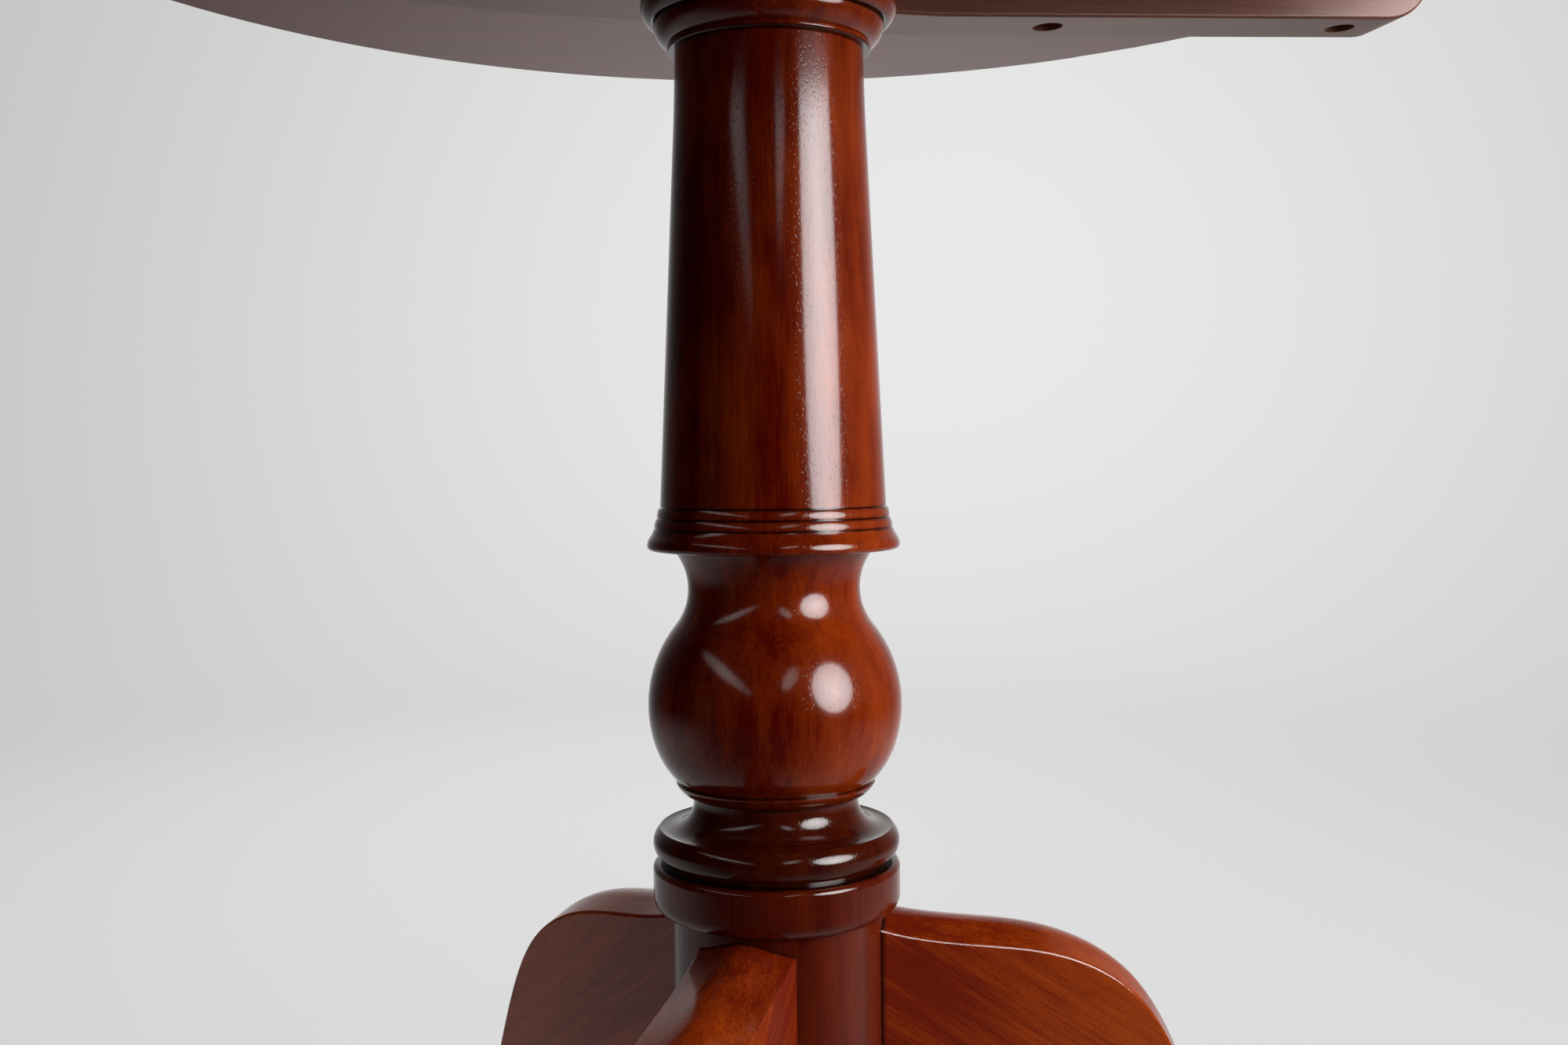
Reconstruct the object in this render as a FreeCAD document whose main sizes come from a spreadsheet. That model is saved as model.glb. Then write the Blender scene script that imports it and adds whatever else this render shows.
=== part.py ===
"""Tilt-top wine table: a turned column on three cabriole legs, with a round top that tilts on two pins.

Millimetres, +Z up. The origin is on the floor under the column's axis. The bearers and the right leg lie
along +X, and the top tilts about the pins at the +X end of the block.
"""
import FreeCAD, Part
import math
import os
from types import SimpleNamespace

import Sketcher

SIZES = {
    # The whole table
    "top_diameter": 580,
    "top_thickness": 20,
    "leg_height": 214,
    "glue_gap": 0.1,
    # Hub: a drum over a cylinder that holds the legs
    "hub_radius": 34.5,
    "hub_drop": 76,
    "hub_chamfer": 2,
    "drum_radius": 40.3,
    "drum_height": 16,
    "drum_round": 5,
    "drum_arris": 2.2,
    # Column, from its tenon in the hub upwards
    "tenon_radius": 15,
    "tenon_length": 40,
    "seat_radius": 35,
    "seat_height": 1.6,
    "torus_edge_radius": 37.6,
    "torus_round": 6.2,
    "torus_height": 9.6,
    "low_cove_round": 8.6,
    "low_cove_radius": 26.6,
    "low_cove_height": 9,
    "bead_radius": 31.3,
    "bead_round": 7,
    "bead_height": 4.8,
    "bead_lip": 0.6,
    "ball_radius": 40.3,
    "ball_drop": 25.9,
    "neck_radius": 27.5,
    "neck_rise": 37.8,
    "neck_to_flare": 11.5,
    "flare_radius": 40.1,
    "flare_lip": 1.6,
    "flare_undercut": 0.6,
    "flare_taper": 1.3,
    "flare_height": 5,
    "band_height": 2.6,
    "groove_width": 0.9,
    "groove_depth": 0.8,
    "band_step": 0.9,
    "shaft_foot_radius": 35.9,
    "shaft_neck_radius": 30,
    "shaft_length": 129.5,
    "sweep_height": 15,
    "sweep_spread": 1.1,
    "sweep_round": 110,
    "astragal_radius": 31.6,
    "astragal_round": 1.2,
    "astragal_height": 2,
    "collar_cove_height": 6,
    "collar_cove_radius": 36.2,
    "collar_cove_round": 7,
    "collar_torus_edge": 37.2,
    "collar_torus_round": 5.6,
    "collar_torus_height": 10,
    "collar_fillet_radius": 35.4,
    "collar_fillet_height": 8.6,
    "upper_tenon_radius": 17,
    # Rod that pulls the column onto the hub
    "rod_radius": 5,
    "rod_grip": 22,
    "rod_end": 3,
    "washer_radius": 12,
    "washer_thickness": 2,
    "nut_radius": 9.2,
    "nut_height": 8,
    # Legs: a share is a place along the leg, from 0 at the hub to 1 at the toe
    "leg_thickness": 32,
    "leg_crown_width": 13,
    "leg_crown_drop": 5,
    "leg_crown_round": 16,
    "leg_arris": 1.2,
    "leg_top_gap": 0.3,
    "leg_top_slope": 0.4,
    "scribe_depth": 4,
    "toe_reach": 250,
    "toe_round": 8,
    "toe_turn": 55,
    "toe_crease": 12,
    "neck_share": 0.1,
    "neck_drop": 7,
    "knee_start_share": 0.276,
    "knee_start_drop": 14.3,
    "knee_share": 0.415,
    "knee_drop": 31.8,
    "shin_share": 0.517,
    "shin_drop": 71.7,
    "shank_share": 0.587,
    "ankle_share": 0.675,
    "ankle_height": 56,
    "instep_share": 0.835,
    "instep_height": 27,
    "heel_share": 0.722,
    "heel_slope": 2,
    "heel_rise_share": 0.58,
    "heel_rise_height": 42,
    "calf_share": 0.44,
    "arch_share": 0.345,
    "arch_drop": 11,
    "arch_start_share": 0.23,
    "glide_radius": 11,
    "glide_thickness": 3,
    "glide_inset": 29,
    # Sliding dovetails between legs and hub
    "dovetail_depth": 12,
    "dovetail_neck": 14,
    "dovetail_tail": 19,
    "dovetail_length": 66,
    # Iron brace under the hub
    "brace_thickness": 3,
    "brace_radius": 26,
    "brace_arm_reach": 74,
    "brace_arm_width": 18,
    "brace_hole_inner": 47,
    "brace_hole_outer": 65,
    "brace_screw_radius": 2,
    "brace_screw_length": 20,
    "brace_head_radius": 3.8,
    "brace_head_height": 2.4,
    # Block between the bearers
    "block_width": 84,
    "block_reach": 42,
    "pivot_reach": 30,
    "pivot_drop": 14,
    "rest_gap": 0.3,
    "wedge_thickness": 3,
    "wedge_length": 24,
    # Bearers
    "bearer_width": 27,
    "bearer_depth": 34,
    "bearer_reach": 272,
    "bearer_flat": 72,
    "bearer_taper": 9,
    "bearer_nose": 18,
    "bearer_blend": 150,
    "bearer_arris": 1.2,
    "side_gap": 0.3,
    "screw_inner_reach": 119,
    "screw_outer_inset": 31,
    "counterbore_radius": 5.6,
    "counterbore_floor": 11,
    "screw_radius": 2,
    "screw_bite": 13,
    "screw_head_radius": 4.2,
    "screw_head_height": 3,
    # Top's moulded edge
    "edge_round": 7,
    "edge_step": 1.2,
    "edge_step_in": 9,
    "edge_under_round": 5,
    # Pivot pins
    "pin_radius": 5,
    "pin_grip": 22,
    "pin_play": 0.05,
    # Slide catch
    "plate_thickness": 3,
    "plate_length": 72,
    "plate_width": 40,
    "plate_gap": 7,
    "bolt_width": 12,
    "bolt_thickness": 5,
    "bolt_length": 66,
    "bolt_gap": 3.2,
    "bolt_nose_round": 2,
    "catch_play": 0.3,
    "strap_width": 8,
    "strap_thickness": 1.6,
    "strap_flange": 7,
    "strap_inset": 6,
    "knob_radius": 5,
    "knob_neck_radius": 3,
    "knob_neck_height": 3,
    "knob_height": 6,
    "knob_round": 1.5,
    "catch_screw_radius": 1.6,
    "catch_screw_length": 12,
    "catch_head_radius": 3,
    "catch_head_height": 1.6,
    "catch_screw_inset": 4.5,
    "strike_thickness": 1.6,
    "strike_width": 40,
    "strike_height": 18,
    "strike_screw_spread": 13,
    "mortise_depth": 12,
    "mortise_play": 0.7,
}

FULL_TURN = 360
LEGS = ("leg_right", "leg_left", "leg_front")
LEG_ANGLES = {label: FULL_TURN * number / len(LEGS) for number, label in enumerate(LEGS)}
LEFT = 1
RIGHT = -1
AXIS_Z = FreeCAD.Vector(0, 0, 1)
CLOSE = 1e-6

doc = FreeCAD.newDocument("wine_table")


class Size:
    """A length with its value and the sheet expression that gives it."""

    def __init__(self, value, text):
        self.value = float(value)
        self.text = text

    def __add__(self, other):
        other = as_size(other)
        return Size(self.value + other.value, f"({self.text} + {other.text})")

    def __sub__(self, other):
        other = as_size(other)
        return Size(self.value - other.value, f"({self.text} - {other.text})")

    def __mul__(self, other):
        other = as_size(other)
        return Size(self.value * other.value, f"({self.text} * {other.text})")

    def __truediv__(self, other):
        other = as_size(other)
        return Size(self.value / other.value, f"({self.text} / {other.text})")

    def __neg__(self):
        return Size(-self.value, f"(-1 * {self.text})")

    def root(self):
        """Return the square root."""
        return Size(math.sqrt(self.value), f"sqrt({self.text})")


def as_size(number):
    """Return a plain number as a Size, and a Size as it is."""
    return number if isinstance(number, Size) else Size(number, str(number))


def fill_sheet():
    """Write the driving dimensions to the sheet and return them by name."""
    sheet = doc.addObject("Spreadsheet::Sheet", "Sizes")
    for row, (name, value) in enumerate(SIZES.items(), start=1):
        sheet.set(f"A{row}", name)
        sheet.set(f"B{row}", str(value))
        sheet.setAlias(f"B{row}", name)
    doc.recompute()
    return SimpleNamespace(**{name: Size(sheet.get(name), f"Sizes.{name}") for name in SIZES})


def bind(item, name, size):
    """Tie a property of a document object to the sheet."""
    item.setExpression(name, as_size(size).text)


def new_body(label, turn=0):
    """Return an empty body, turned about the column's axis."""
    body = doc.addObject("PartDesign::Body", label)
    body.Label = label
    body.Placement = FreeCAD.Placement(FreeCAD.Vector(), FreeCAD.Rotation(AXIS_Z, turn))
    return body


def new_sketch(body, name, role, offset=0):
    """Return a sketch on one of the body's own origin planes, moved along the plane's normal."""
    plane = next(item for item in body.Origin.OriginFeatures if item.Role == role)
    sketch = body.newObject("Sketcher::SketchObject", name)
    sketch.AttachmentSupport = [(plane, "")]
    sketch.MapMode = "FlatFace"
    bind(sketch, "AttachmentOffset.Base.z", offset)
    return sketch


def fix(sketch, kind, size, *where):
    """Add a constraint whose value comes from the sheet."""
    number = sketch.addConstraint(Sketcher.Constraint(kind, *where, as_size(size).value))
    sketch.setExpression(f"Constraints[{number}]", as_size(size).text)


def fix_point(sketch, curve, end, x, y):
    """Pin one end of a curve to a place from the sheet."""
    fix(sketch, "DistanceX", x, -1, 1, curve, end)
    fix(sketch, "DistanceY", y, -1, 1, curve, end)


def vector(x, y):
    """Return a point of a sketch."""
    return FreeCAD.Vector(as_size(x).value, as_size(y).value, 0)


def add_arc(sketch, start, end, radius, side):
    """Add an arc of less than half a circle and return its number and its start and end positions."""
    chord = end - start
    across = FreeCAD.Vector(-chord.y, chord.x, 0).normalize()
    depth = math.sqrt(radius ** 2 - (chord.Length / 2) ** 2)
    centre = (start + end) / 2 + across * depth * side
    first, last = (start, end) if side == LEFT else (end, start)
    angles = [math.atan2(point.y - centre.y, point.x - centre.x) for point in (first, last)]
    circle = Part.Circle(centre, AXIS_Z, radius)
    curve = sketch.addGeometry(Part.ArcOfCircle(circle, *angles), False)
    return (curve, 1, 2) if side == LEFT else (curve, 2, 1)


def draw_outline(sketch, corners):
    """Draw a closed outline of lines and arcs.

    A corner is (x, y), or (x, y, radius, side) where an arc reaches it and its centre is on that side.
    """
    stretches = []
    for before, corner in zip([corners[-1]] + corners[:-1], corners):
        start, end = vector(*before[:2]), vector(*corner[:2])
        if len(corner) == 2:
            stretches.append((sketch.addGeometry(Part.LineSegment(start, end), False), 1, 2))
        else:
            stretches.append(add_arc(sketch, start, end, corner[2].value, corner[3]))
    for number, corner in enumerate(corners):
        curve, _, end = stretches[number]
        follower, follower_start, _ = stretches[(number + 1) % len(stretches)]
        sketch.addConstraint(Sketcher.Constraint("Coincident", curve, end, follower, follower_start))
        fix_point(sketch, curve, end, *corner[:2])
        if len(corner) == 4:
            fix(sketch, "Radius", corner[2], curve)


def draw_circle(sketch, x, y, radius):
    """Draw a circle at a place from the sheet."""
    circle = Part.Circle(vector(x, y), AXIS_Z, radius.value)
    curve = sketch.addGeometry(circle, False)
    fix_point(sketch, curve, 3, x, y)
    fix(sketch, "Radius", radius, curve)


def draw_box(sketch, left, right, low, high):
    """Draw a rectangle between sizes from the sheet."""
    draw_outline(sketch, [(left, low), (right, low), (right, high), (left, high)])


def revolve(body, sketch):
    """Turn a sketch about the column's axis."""
    feature = body.newObject("PartDesign::Revolution", f"{body.Label}_turning")
    feature.Profile = sketch
    feature.ReferenceAxis = (sketch, ["V_Axis"])
    feature.Angle = FULL_TURN
    return feature


def extrude(body, kind, sketch, length, symmetric=False, upward=True):
    """Add a Pad or a Pocket that runs upward from its sketch, or both ways."""
    feature = body.newObject(f"PartDesign::{kind}", f"{sketch.Label}_{kind.lower()}")
    feature.Profile = sketch
    feature.SideType = "Symmetric" if symmetric else "One side"
    feature.Reversed = upward if kind == "Pocket" else not upward
    bind(feature, "Length", length)
    return feature


def pattern_round(body, feature, sketch, count):
    """Repeat a feature evenly about the column's axis."""
    pattern = body.newObject("PartDesign::PolarPattern", f"{feature.Label}_ring")
    pattern.Originals = [feature]
    pattern.Axis = (sketch, ["N_Axis"])
    pattern.Angle = FULL_TURN
    pattern.Occurrences = count
    body.Tip = pattern
    return pattern


def ease_edges(body, base, kind, size, chosen):
    """Fillet or chamfer the edges of a feature that pass a test."""
    doc.recompute()
    names = [f"Edge{number}" for number, edge in enumerate(base.Shape.Edges, start=1) if chosen(edge)]
    feature = body.newObject(f"PartDesign::{kind}", f"{body.Label}_arris_{len(body.Group)}")
    feature.Base = (base, names)
    bind(feature, "Radius" if kind == "Fillet" else "Size", size)
    return feature


def copies(label, source, places):
    """Return one sub-part of separate solids: a source shape at several places."""
    doc.recompute()
    shapes = []
    for place in places:
        shape = source.Shape.copy()
        shape.Placement = place.multiply(shape.Placement)
        shapes.append(shape)
    group = doc.addObject("Part::Feature", label)
    group.Label = label
    group.Shape = Part.makeCompound(shapes)
    return group


def turned(angle, x=0, y=0, z=0):
    """Return a placement moved by x, y and z, then turned about the column's axis."""
    rotation = FreeCAD.Rotation(AXIS_Z, angle)
    return FreeCAD.Placement(rotation.multVec(FreeCAD.Vector(x, y, z)), rotation)


S = fill_sheet()

# Levels that several pieces share
HUB_BOTTOM = S.leg_height - S.hub_drop
HUB_TOP = S.leg_height + S.drum_height
TORUS_FOOT = HUB_TOP + S.seat_height
TORUS_TOP = TORUS_FOOT + S.torus_height
BEAD_FOOT = TORUS_TOP + S.low_cove_height
BEAD_TOP = BEAD_FOOT + S.bead_height
BALL_MIDDLE = BEAD_TOP + S.ball_drop
NECK_MIDDLE = BALL_MIDDLE + S.neck_rise
FLARE_FOOT = NECK_MIDDLE + S.neck_to_flare
FLARE_TOP = FLARE_FOOT + S.flare_undercut + S.flare_lip + S.flare_height
SHAFT_FOOT = FLARE_TOP + S.band_height * 2 + S.groove_width * 3
SHAFT_NECK = SHAFT_FOOT + S.shaft_length
ASTRAGAL_FOOT = SHAFT_NECK + S.sweep_height
COLLAR_FOOT = ASTRAGAL_FOOT + S.astragal_height
COLLAR_TORUS_FOOT = COLLAR_FOOT + S.collar_cove_height + S.groove_width
COLLAR_TORUS_TOP = COLLAR_TORUS_FOOT + S.collar_torus_height
BLOCK_BOTTOM = COLLAR_TORUS_TOP + S.collar_fillet_height
TOP_BOTTOM = BLOCK_BOTTOM + S.bearer_depth + S.side_gap * 2
TOP_SURFACE = TOP_BOTTOM + S.top_thickness
BEARER_BOTTOM = TOP_BOTTOM - S.bearer_depth
PIVOT_HEIGHT = TOP_BOTTOM - S.pivot_drop
BLOCK_TOP = TOP_BOTTOM - S.rest_gap
TOP_RADIUS = S.top_diameter / 2
ROD_TOP = HUB_TOP + S.rod_grip
ROD_BORE = S.rod_radius + S.glue_gap
BRACE_BOTTOM = HUB_BOTTOM - S.brace_thickness
BEARER_INNER = S.block_width / 2 + S.side_gap
BEARER_MIDDLE = BEARER_INNER + S.bearer_width / 2
PLATE_BOTTOM = TOP_BOTTOM - S.plate_thickness
BOLT_TOP = PLATE_BOTTOM - S.catch_play
BOLT_BOTTOM = BOLT_TOP - S.bolt_thickness
BOLT_NOSE = S.block_reach + S.strike_thickness + S.bolt_gap
PLATE_START = S.block_reach + S.plate_gap
PLATE_END = PLATE_START + S.plate_length


def column_profile():
    """Return the turned outline of the column, from the rod's bore up to the upper tenon and the axis."""
    reach_squared = S.neck_radius * S.neck_radius + S.neck_rise * S.neck_rise
    cove_round = (reach_squared - S.ball_radius * S.ball_radius) / ((S.ball_radius - S.neck_radius) * 2)
    share = S.ball_radius / (S.ball_radius + cove_round)
    ball_end = (S.neck_radius + cove_round) * share
    ball_end_height = BALL_MIDDLE + S.neck_rise * share
    ball_start = (S.ball_radius * S.ball_radius - S.ball_drop * S.ball_drop).root()
    cove_end = S.neck_radius + cove_round - (
        cove_round * cove_round - S.neck_to_flare * S.neck_to_flare
    ).root()
    lip = S.flare_radius - S.flare_taper
    tenon_bottom = HUB_TOP - S.tenon_length
    corners = [
        (ROD_BORE, ROD_TOP),
        (ROD_BORE, tenon_bottom),
        (S.tenon_radius, tenon_bottom),
        (S.tenon_radius, HUB_TOP),
        (S.seat_radius, HUB_TOP),
        (S.seat_radius, TORUS_FOOT),
        (S.torus_edge_radius, TORUS_FOOT),
        (S.torus_edge_radius, TORUS_TOP, S.torus_round, LEFT),
        (S.low_cove_radius, BEAD_FOOT, S.low_cove_round, RIGHT),
        (S.bead_radius, BEAD_TOP - S.bead_lip, S.bead_round, LEFT),
        (ball_start, BEAD_TOP),
        (ball_end, ball_end_height, S.ball_radius, LEFT),
        (cove_end, FLARE_FOOT, cove_round, RIGHT),
        (S.flare_radius, FLARE_FOOT + S.flare_undercut),
        (S.flare_radius, FLARE_FOOT + S.flare_undercut + S.flare_lip),
        (lip, FLARE_TOP),
    ]
    band = lip
    height = FLARE_TOP
    for _ in range(2):
        corners += [
            (band - S.groove_depth, height),
            (band - S.groove_depth, height + S.groove_width),
            (band - S.band_step / 2, height + S.groove_width),
            (band - S.band_step, height + S.groove_width + S.band_height),
        ]
        band = band - S.band_step
        height = height + S.groove_width + S.band_height
    corners += [
        (S.shaft_foot_radius - S.groove_depth, height),
        (S.shaft_foot_radius - S.groove_depth, SHAFT_FOOT),
        (S.shaft_foot_radius, SHAFT_FOOT),
        (S.shaft_neck_radius, SHAFT_NECK),
        (S.shaft_neck_radius + S.sweep_spread, ASTRAGAL_FOOT, S.sweep_round, RIGHT),
        (S.astragal_radius, ASTRAGAL_FOOT),
        (S.astragal_radius, COLLAR_FOOT, S.astragal_round, LEFT),
        (S.collar_cove_radius, COLLAR_FOOT + S.collar_cove_height, S.collar_cove_round, LEFT),
        (S.collar_cove_radius - S.groove_depth, COLLAR_FOOT + S.collar_cove_height),
        (S.collar_cove_radius - S.groove_depth, COLLAR_TORUS_FOOT),
        (S.collar_torus_edge, COLLAR_TORUS_FOOT),
        (S.collar_torus_edge, COLLAR_TORUS_TOP, S.collar_torus_round, LEFT),
        (S.collar_fillet_radius, COLLAR_TORUS_TOP),
        (S.collar_fillet_radius, BLOCK_BOTTOM),
        (S.upper_tenon_radius, BLOCK_BOTTOM),
        (S.upper_tenon_radius, BLOCK_TOP),
        (as_size(0), BLOCK_TOP),
        (as_size(0), ROD_TOP),
    ]
    return corners


def make_column():
    """Turn the column and saw the wedge's kerf in its upper tenon."""
    body = new_body("column")
    profile = new_sketch(body, "column_outline", "XZ_Plane")
    draw_outline(profile, column_profile())
    revolve(body, profile)
    kerf = new_sketch(body, "column_kerf", "XY_Plane", BLOCK_TOP - S.wedge_length)
    half = S.wedge_thickness / 2 + S.glue_gap
    reach = S.upper_tenon_radius + S.glue_gap * 2
    draw_box(kerf, -half, half, -reach, reach)
    extrude(body, "Pocket", kerf, S.wedge_length)
    return body


def make_hub():
    """Turn the hub and cut its three dovetail slots from below."""
    body = new_body("base_hub")
    profile = new_sketch(body, "hub_outline", "XZ_Plane")
    socket = S.tenon_radius + S.glue_gap
    socket_floor = HUB_TOP - S.tenon_length - S.glue_gap
    draw_outline(profile, [
        (ROD_BORE, socket_floor),
        (ROD_BORE, HUB_BOTTOM),
        (S.hub_radius - S.hub_chamfer, HUB_BOTTOM),
        (S.hub_radius, HUB_BOTTOM + S.hub_chamfer),
        (S.hub_radius, S.leg_height),
        (S.drum_radius - S.drum_round, S.leg_height),
        (S.drum_radius, S.leg_height + S.drum_round, S.drum_round, LEFT),
        (S.drum_radius, HUB_TOP - S.drum_arris),
        (S.drum_radius - S.drum_arris, HUB_TOP, S.drum_arris, LEFT),
        (socket, HUB_TOP),
        (socket, socket_floor),
    ])
    revolve(body, profile)
    slot = new_sketch(body, "hub_slot", "XY_Plane", HUB_BOTTOM)
    draw_dovetail(slot, S.glue_gap)
    cut = extrude(body, "Pocket", slot, S.dovetail_length)
    pattern_round(body, cut, slot, len(LEG_ANGLES))
    return body


def draw_dovetail(sketch, gap):
    """Draw a dovetail that widens towards the hub's axis, larger by a gap all round."""
    neck = S.dovetail_neck / 2 + gap
    tail = S.dovetail_tail / 2 + gap
    inside = S.hub_radius - S.dovetail_depth - gap
    outside = S.hub_radius + S.scribe_depth
    draw_outline(sketch, [
        (inside, -tail), (S.hub_radius, -neck), (outside, -neck),
        (outside, neck), (S.hub_radius, neck), (inside, tail),
    ])


def reach_at(share):
    """Return a place along a leg, from the hub at 0 to the toe at 1."""
    return S.hub_radius + (S.toe_reach - S.hub_radius) * share


def curve_through(points, start, end):
    """Return a smooth curve through points, with its directions at the two ends."""
    curve = Part.BSplineCurve()
    curve.interpolate(Points=points, InitialTangent=start, FinalTangent=end)
    return curve


def draw_leg(sketch):
    """Draw a leg's side outline: over knee and instep to the toe, along the sole and back under the arch."""
    sole = S.glide_thickness
    shin_height = S.leg_height - S.shin_drop
    arch_height = HUB_BOTTOM - S.arch_drop
    shoulder_top = vector(S.hub_radius - S.scribe_depth, S.leg_height - S.leg_top_gap)
    shoulder_low = vector(S.hub_radius - S.scribe_depth, HUB_BOTTOM)
    arch_start = vector(reach_at(S.arch_start_share), HUB_BOTTOM)
    heel = vector(reach_at(S.heel_share), sole)
    toe = vector(S.toe_reach - S.toe_round, sole + S.toe_round)
    toe_turn = math.radians(S.toe_turn.value)
    outward = vector(math.cos(toe_turn), math.sin(toe_turn))
    crease = toe_turn + math.radians(S.toe_crease.value)
    upper = curve_through(
        [
            shoulder_top,
            vector(reach_at(S.neck_share), S.leg_height - S.neck_drop),
            vector(reach_at(S.knee_start_share), S.leg_height - S.knee_start_drop),
            vector(reach_at(S.knee_share), S.leg_height - S.knee_drop),
            vector(reach_at(S.shin_share), shin_height),
            vector(reach_at(S.shank_share), (shin_height + S.ankle_height) / 2),
            vector(reach_at(S.ankle_share), S.ankle_height),
            vector(reach_at(S.instep_share), S.instep_height),
            toe + outward * S.toe_round.value,
        ],
        start=vector(1, -S.leg_top_slope),
        end=vector(math.sin(crease), -math.cos(crease)),
    )
    lower = curve_through(
        [
            heel,
            vector(reach_at(S.heel_rise_share), S.heel_rise_height),
            vector(reach_at(S.calf_share), (arch_height + S.heel_rise_height) / 2),
            vector(reach_at(S.arch_share), arch_height),
            arch_start,
        ],
        start=vector(-1, S.heel_slope),
        end=vector(-1, 0),
    )
    toe_curve = Part.ArcOfCircle(Part.Circle(toe, AXIS_Z, S.toe_round.value), -math.pi / 2, toe_turn)
    sole_line = Part.LineSegment(vector(toe.x, sole), heel)
    under = Part.LineSegment(arch_start, shoulder_low)
    shoulder = Part.LineSegment(shoulder_low, shoulder_top)
    ends = []
    for curve in (upper, toe_curve, sole_line, lower, under, shoulder):
        number = sketch.addGeometry(curve, False)
        ends.append((number, 2, 1) if curve is toe_curve else (number, 1, 2))
    for (curve, _, end), (follower, start, _) in zip(ends, ends[1:] + ends[:1]):
        sketch.addConstraint(Sketcher.Constraint("Coincident", curve, end, follower, start))


def make_leg(label, angle):
    """Saw a leg to its outline, crown its top, scribe it to the hub and add its dovetail."""
    body = new_body(label, angle)
    outline = new_sketch(body, f"{label}_outline", "XZ_Plane")
    draw_leg(outline)
    blank = extrude(body, "Pad", outline, S.leg_thickness, symmetric=True)
    half = S.leg_thickness.value / 2
    ridge = half - S.leg_crown_width.value
    toe = (S.toe_reach - S.toe_round).value
    arch = reach_at(S.arch_start_share).value

    def along(edge, offset):
        return all(abs(abs(vertex.Y) - offset) < CLOSE for vertex in edge.Vertexes)

    def over_the_top(edge, offset=half):
        return along(edge, offset) and edge.BoundBox.XMin < arch and edge.BoundBox.XMax > toe

    def at_the_ridge(edge):
        return over_the_top(edge, ridge)

    def beside_the_knee(edge):
        return along(edge, half) and edge.BoundBox.XMax > arch and edge.BoundBox.XMin < toe - CLOSE

    crown = ease_edges(body, blank, "Chamfer", S.leg_crown_width, over_the_top)
    crown.ChamferType = "Two distances"
    bind(crown, "Size2", S.leg_crown_drop)
    rolled = ease_edges(body, crown, "Fillet", S.leg_crown_round, at_the_ridge)
    ease_edges(body, rolled, "Fillet", S.leg_arris, beside_the_knee)
    scribe = new_sketch(body, f"{label}_scribe", "XY_Plane", HUB_BOTTOM - S.scribe_depth)
    draw_circle(scribe, as_size(0), as_size(0), S.hub_radius + S.glue_gap)
    extrude(body, "Pocket", scribe, S.hub_drop + S.scribe_depth * 2)
    tongue = new_sketch(body, f"{label}_tongue", "XY_Plane", HUB_BOTTOM)
    draw_dovetail(tongue, as_size(0))
    extrude(body, "Pad", tongue, S.dovetail_length - S.glue_gap)
    pilots = new_sketch(body, f"{label}_pilots", "XY_Plane", HUB_BOTTOM)
    for reach in (S.brace_hole_inner, S.brace_hole_outer):
        draw_circle(pilots, reach, as_size(0), S.brace_screw_radius + S.glue_gap)
    extrude(body, "Pocket", pilots, S.brace_screw_length - S.brace_thickness + S.glue_gap)
    return body


def make_glides():
    """Return the three glides under the feet."""
    glide = doc.addObject("Part::Cylinder", "glide_blank")
    bind(glide, "Radius", S.glide_radius)
    bind(glide, "Height", S.glide_thickness)
    places = [turned(angle, (S.toe_reach - S.glide_inset).value) for angle in LEG_ANGLES.values()]
    return copies("foot_glides", glide, places)


def make_brace():
    """Cut the three-armed iron plate that ties the legs under the hub."""
    body = new_body("leg_brace")
    disc = new_sketch(body, "brace_disc", "XY_Plane", BRACE_BOTTOM)
    draw_circle(disc, as_size(0), as_size(0), S.brace_radius)
    extrude(body, "Pad", disc, S.brace_thickness)
    arm = new_sketch(body, "brace_arm", "XY_Plane", BRACE_BOTTOM)
    half = S.brace_arm_width / 2
    draw_box(arm, as_size(0), S.brace_arm_reach, -half, half)
    arm_pad = extrude(body, "Pad", arm, S.brace_thickness)
    pattern_round(body, arm_pad, arm, len(LEG_ANGLES))
    centre = new_sketch(body, "brace_centre", "XY_Plane", BRACE_BOTTOM)
    draw_circle(centre, as_size(0), as_size(0), ROD_BORE)
    extrude(body, "Pocket", centre, S.brace_thickness)
    holes = new_sketch(body, "brace_holes", "XY_Plane", BRACE_BOTTOM)
    for reach in (S.brace_hole_inner, S.brace_hole_outer):
        draw_circle(holes, reach, as_size(0), S.brace_screw_radius + S.glue_gap)
    cut = extrude(body, "Pocket", holes, S.brace_thickness)
    pattern_round(body, cut, holes, len(LEG_ANGLES))
    return body


def make_screw(label, radius, length, head_radius, head_height):
    """Turn a screw that points up, with the seat of its head at the origin."""
    body = new_body(label)
    profile = new_sketch(body, f"{label}_outline", "XZ_Plane")
    zero = as_size(0)
    crown = head_height / 2
    draw_outline(profile, [
        (zero, -head_height),
        (head_radius - crown, -head_height),
        (head_radius, -crown, crown, LEFT),
        (head_radius, zero),
        (radius, zero),
        (radius, length - radius),
        (zero, length),
    ])
    revolve(body, profile)
    return body


def make_brace_screws():
    """Return the six screws that hold the brace to the legs."""
    screw = make_screw(
        "brace_screw", S.brace_screw_radius, S.brace_screw_length, S.brace_head_radius, S.brace_head_height
    )
    places = []
    for angle in LEG_ANGLES.values():
        for reach in (S.brace_hole_inner, S.brace_hole_outer):
            places.append(turned(angle, reach.value, 0, BRACE_BOTTOM.value))
    return copies("leg_brace_screws", screw, places)


def make_rod():
    """Return the rod that runs from under the brace into the column."""
    rod = doc.addObject("Part::Cylinder", "column_rod")
    low = BRACE_BOTTOM - S.washer_thickness - S.nut_height - S.rod_end
    bind(rod, "Radius", S.rod_radius)
    bind(rod, "Height", ROD_TOP - low)
    bind(rod, "Placement.Base.z", low)
    return rod


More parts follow.
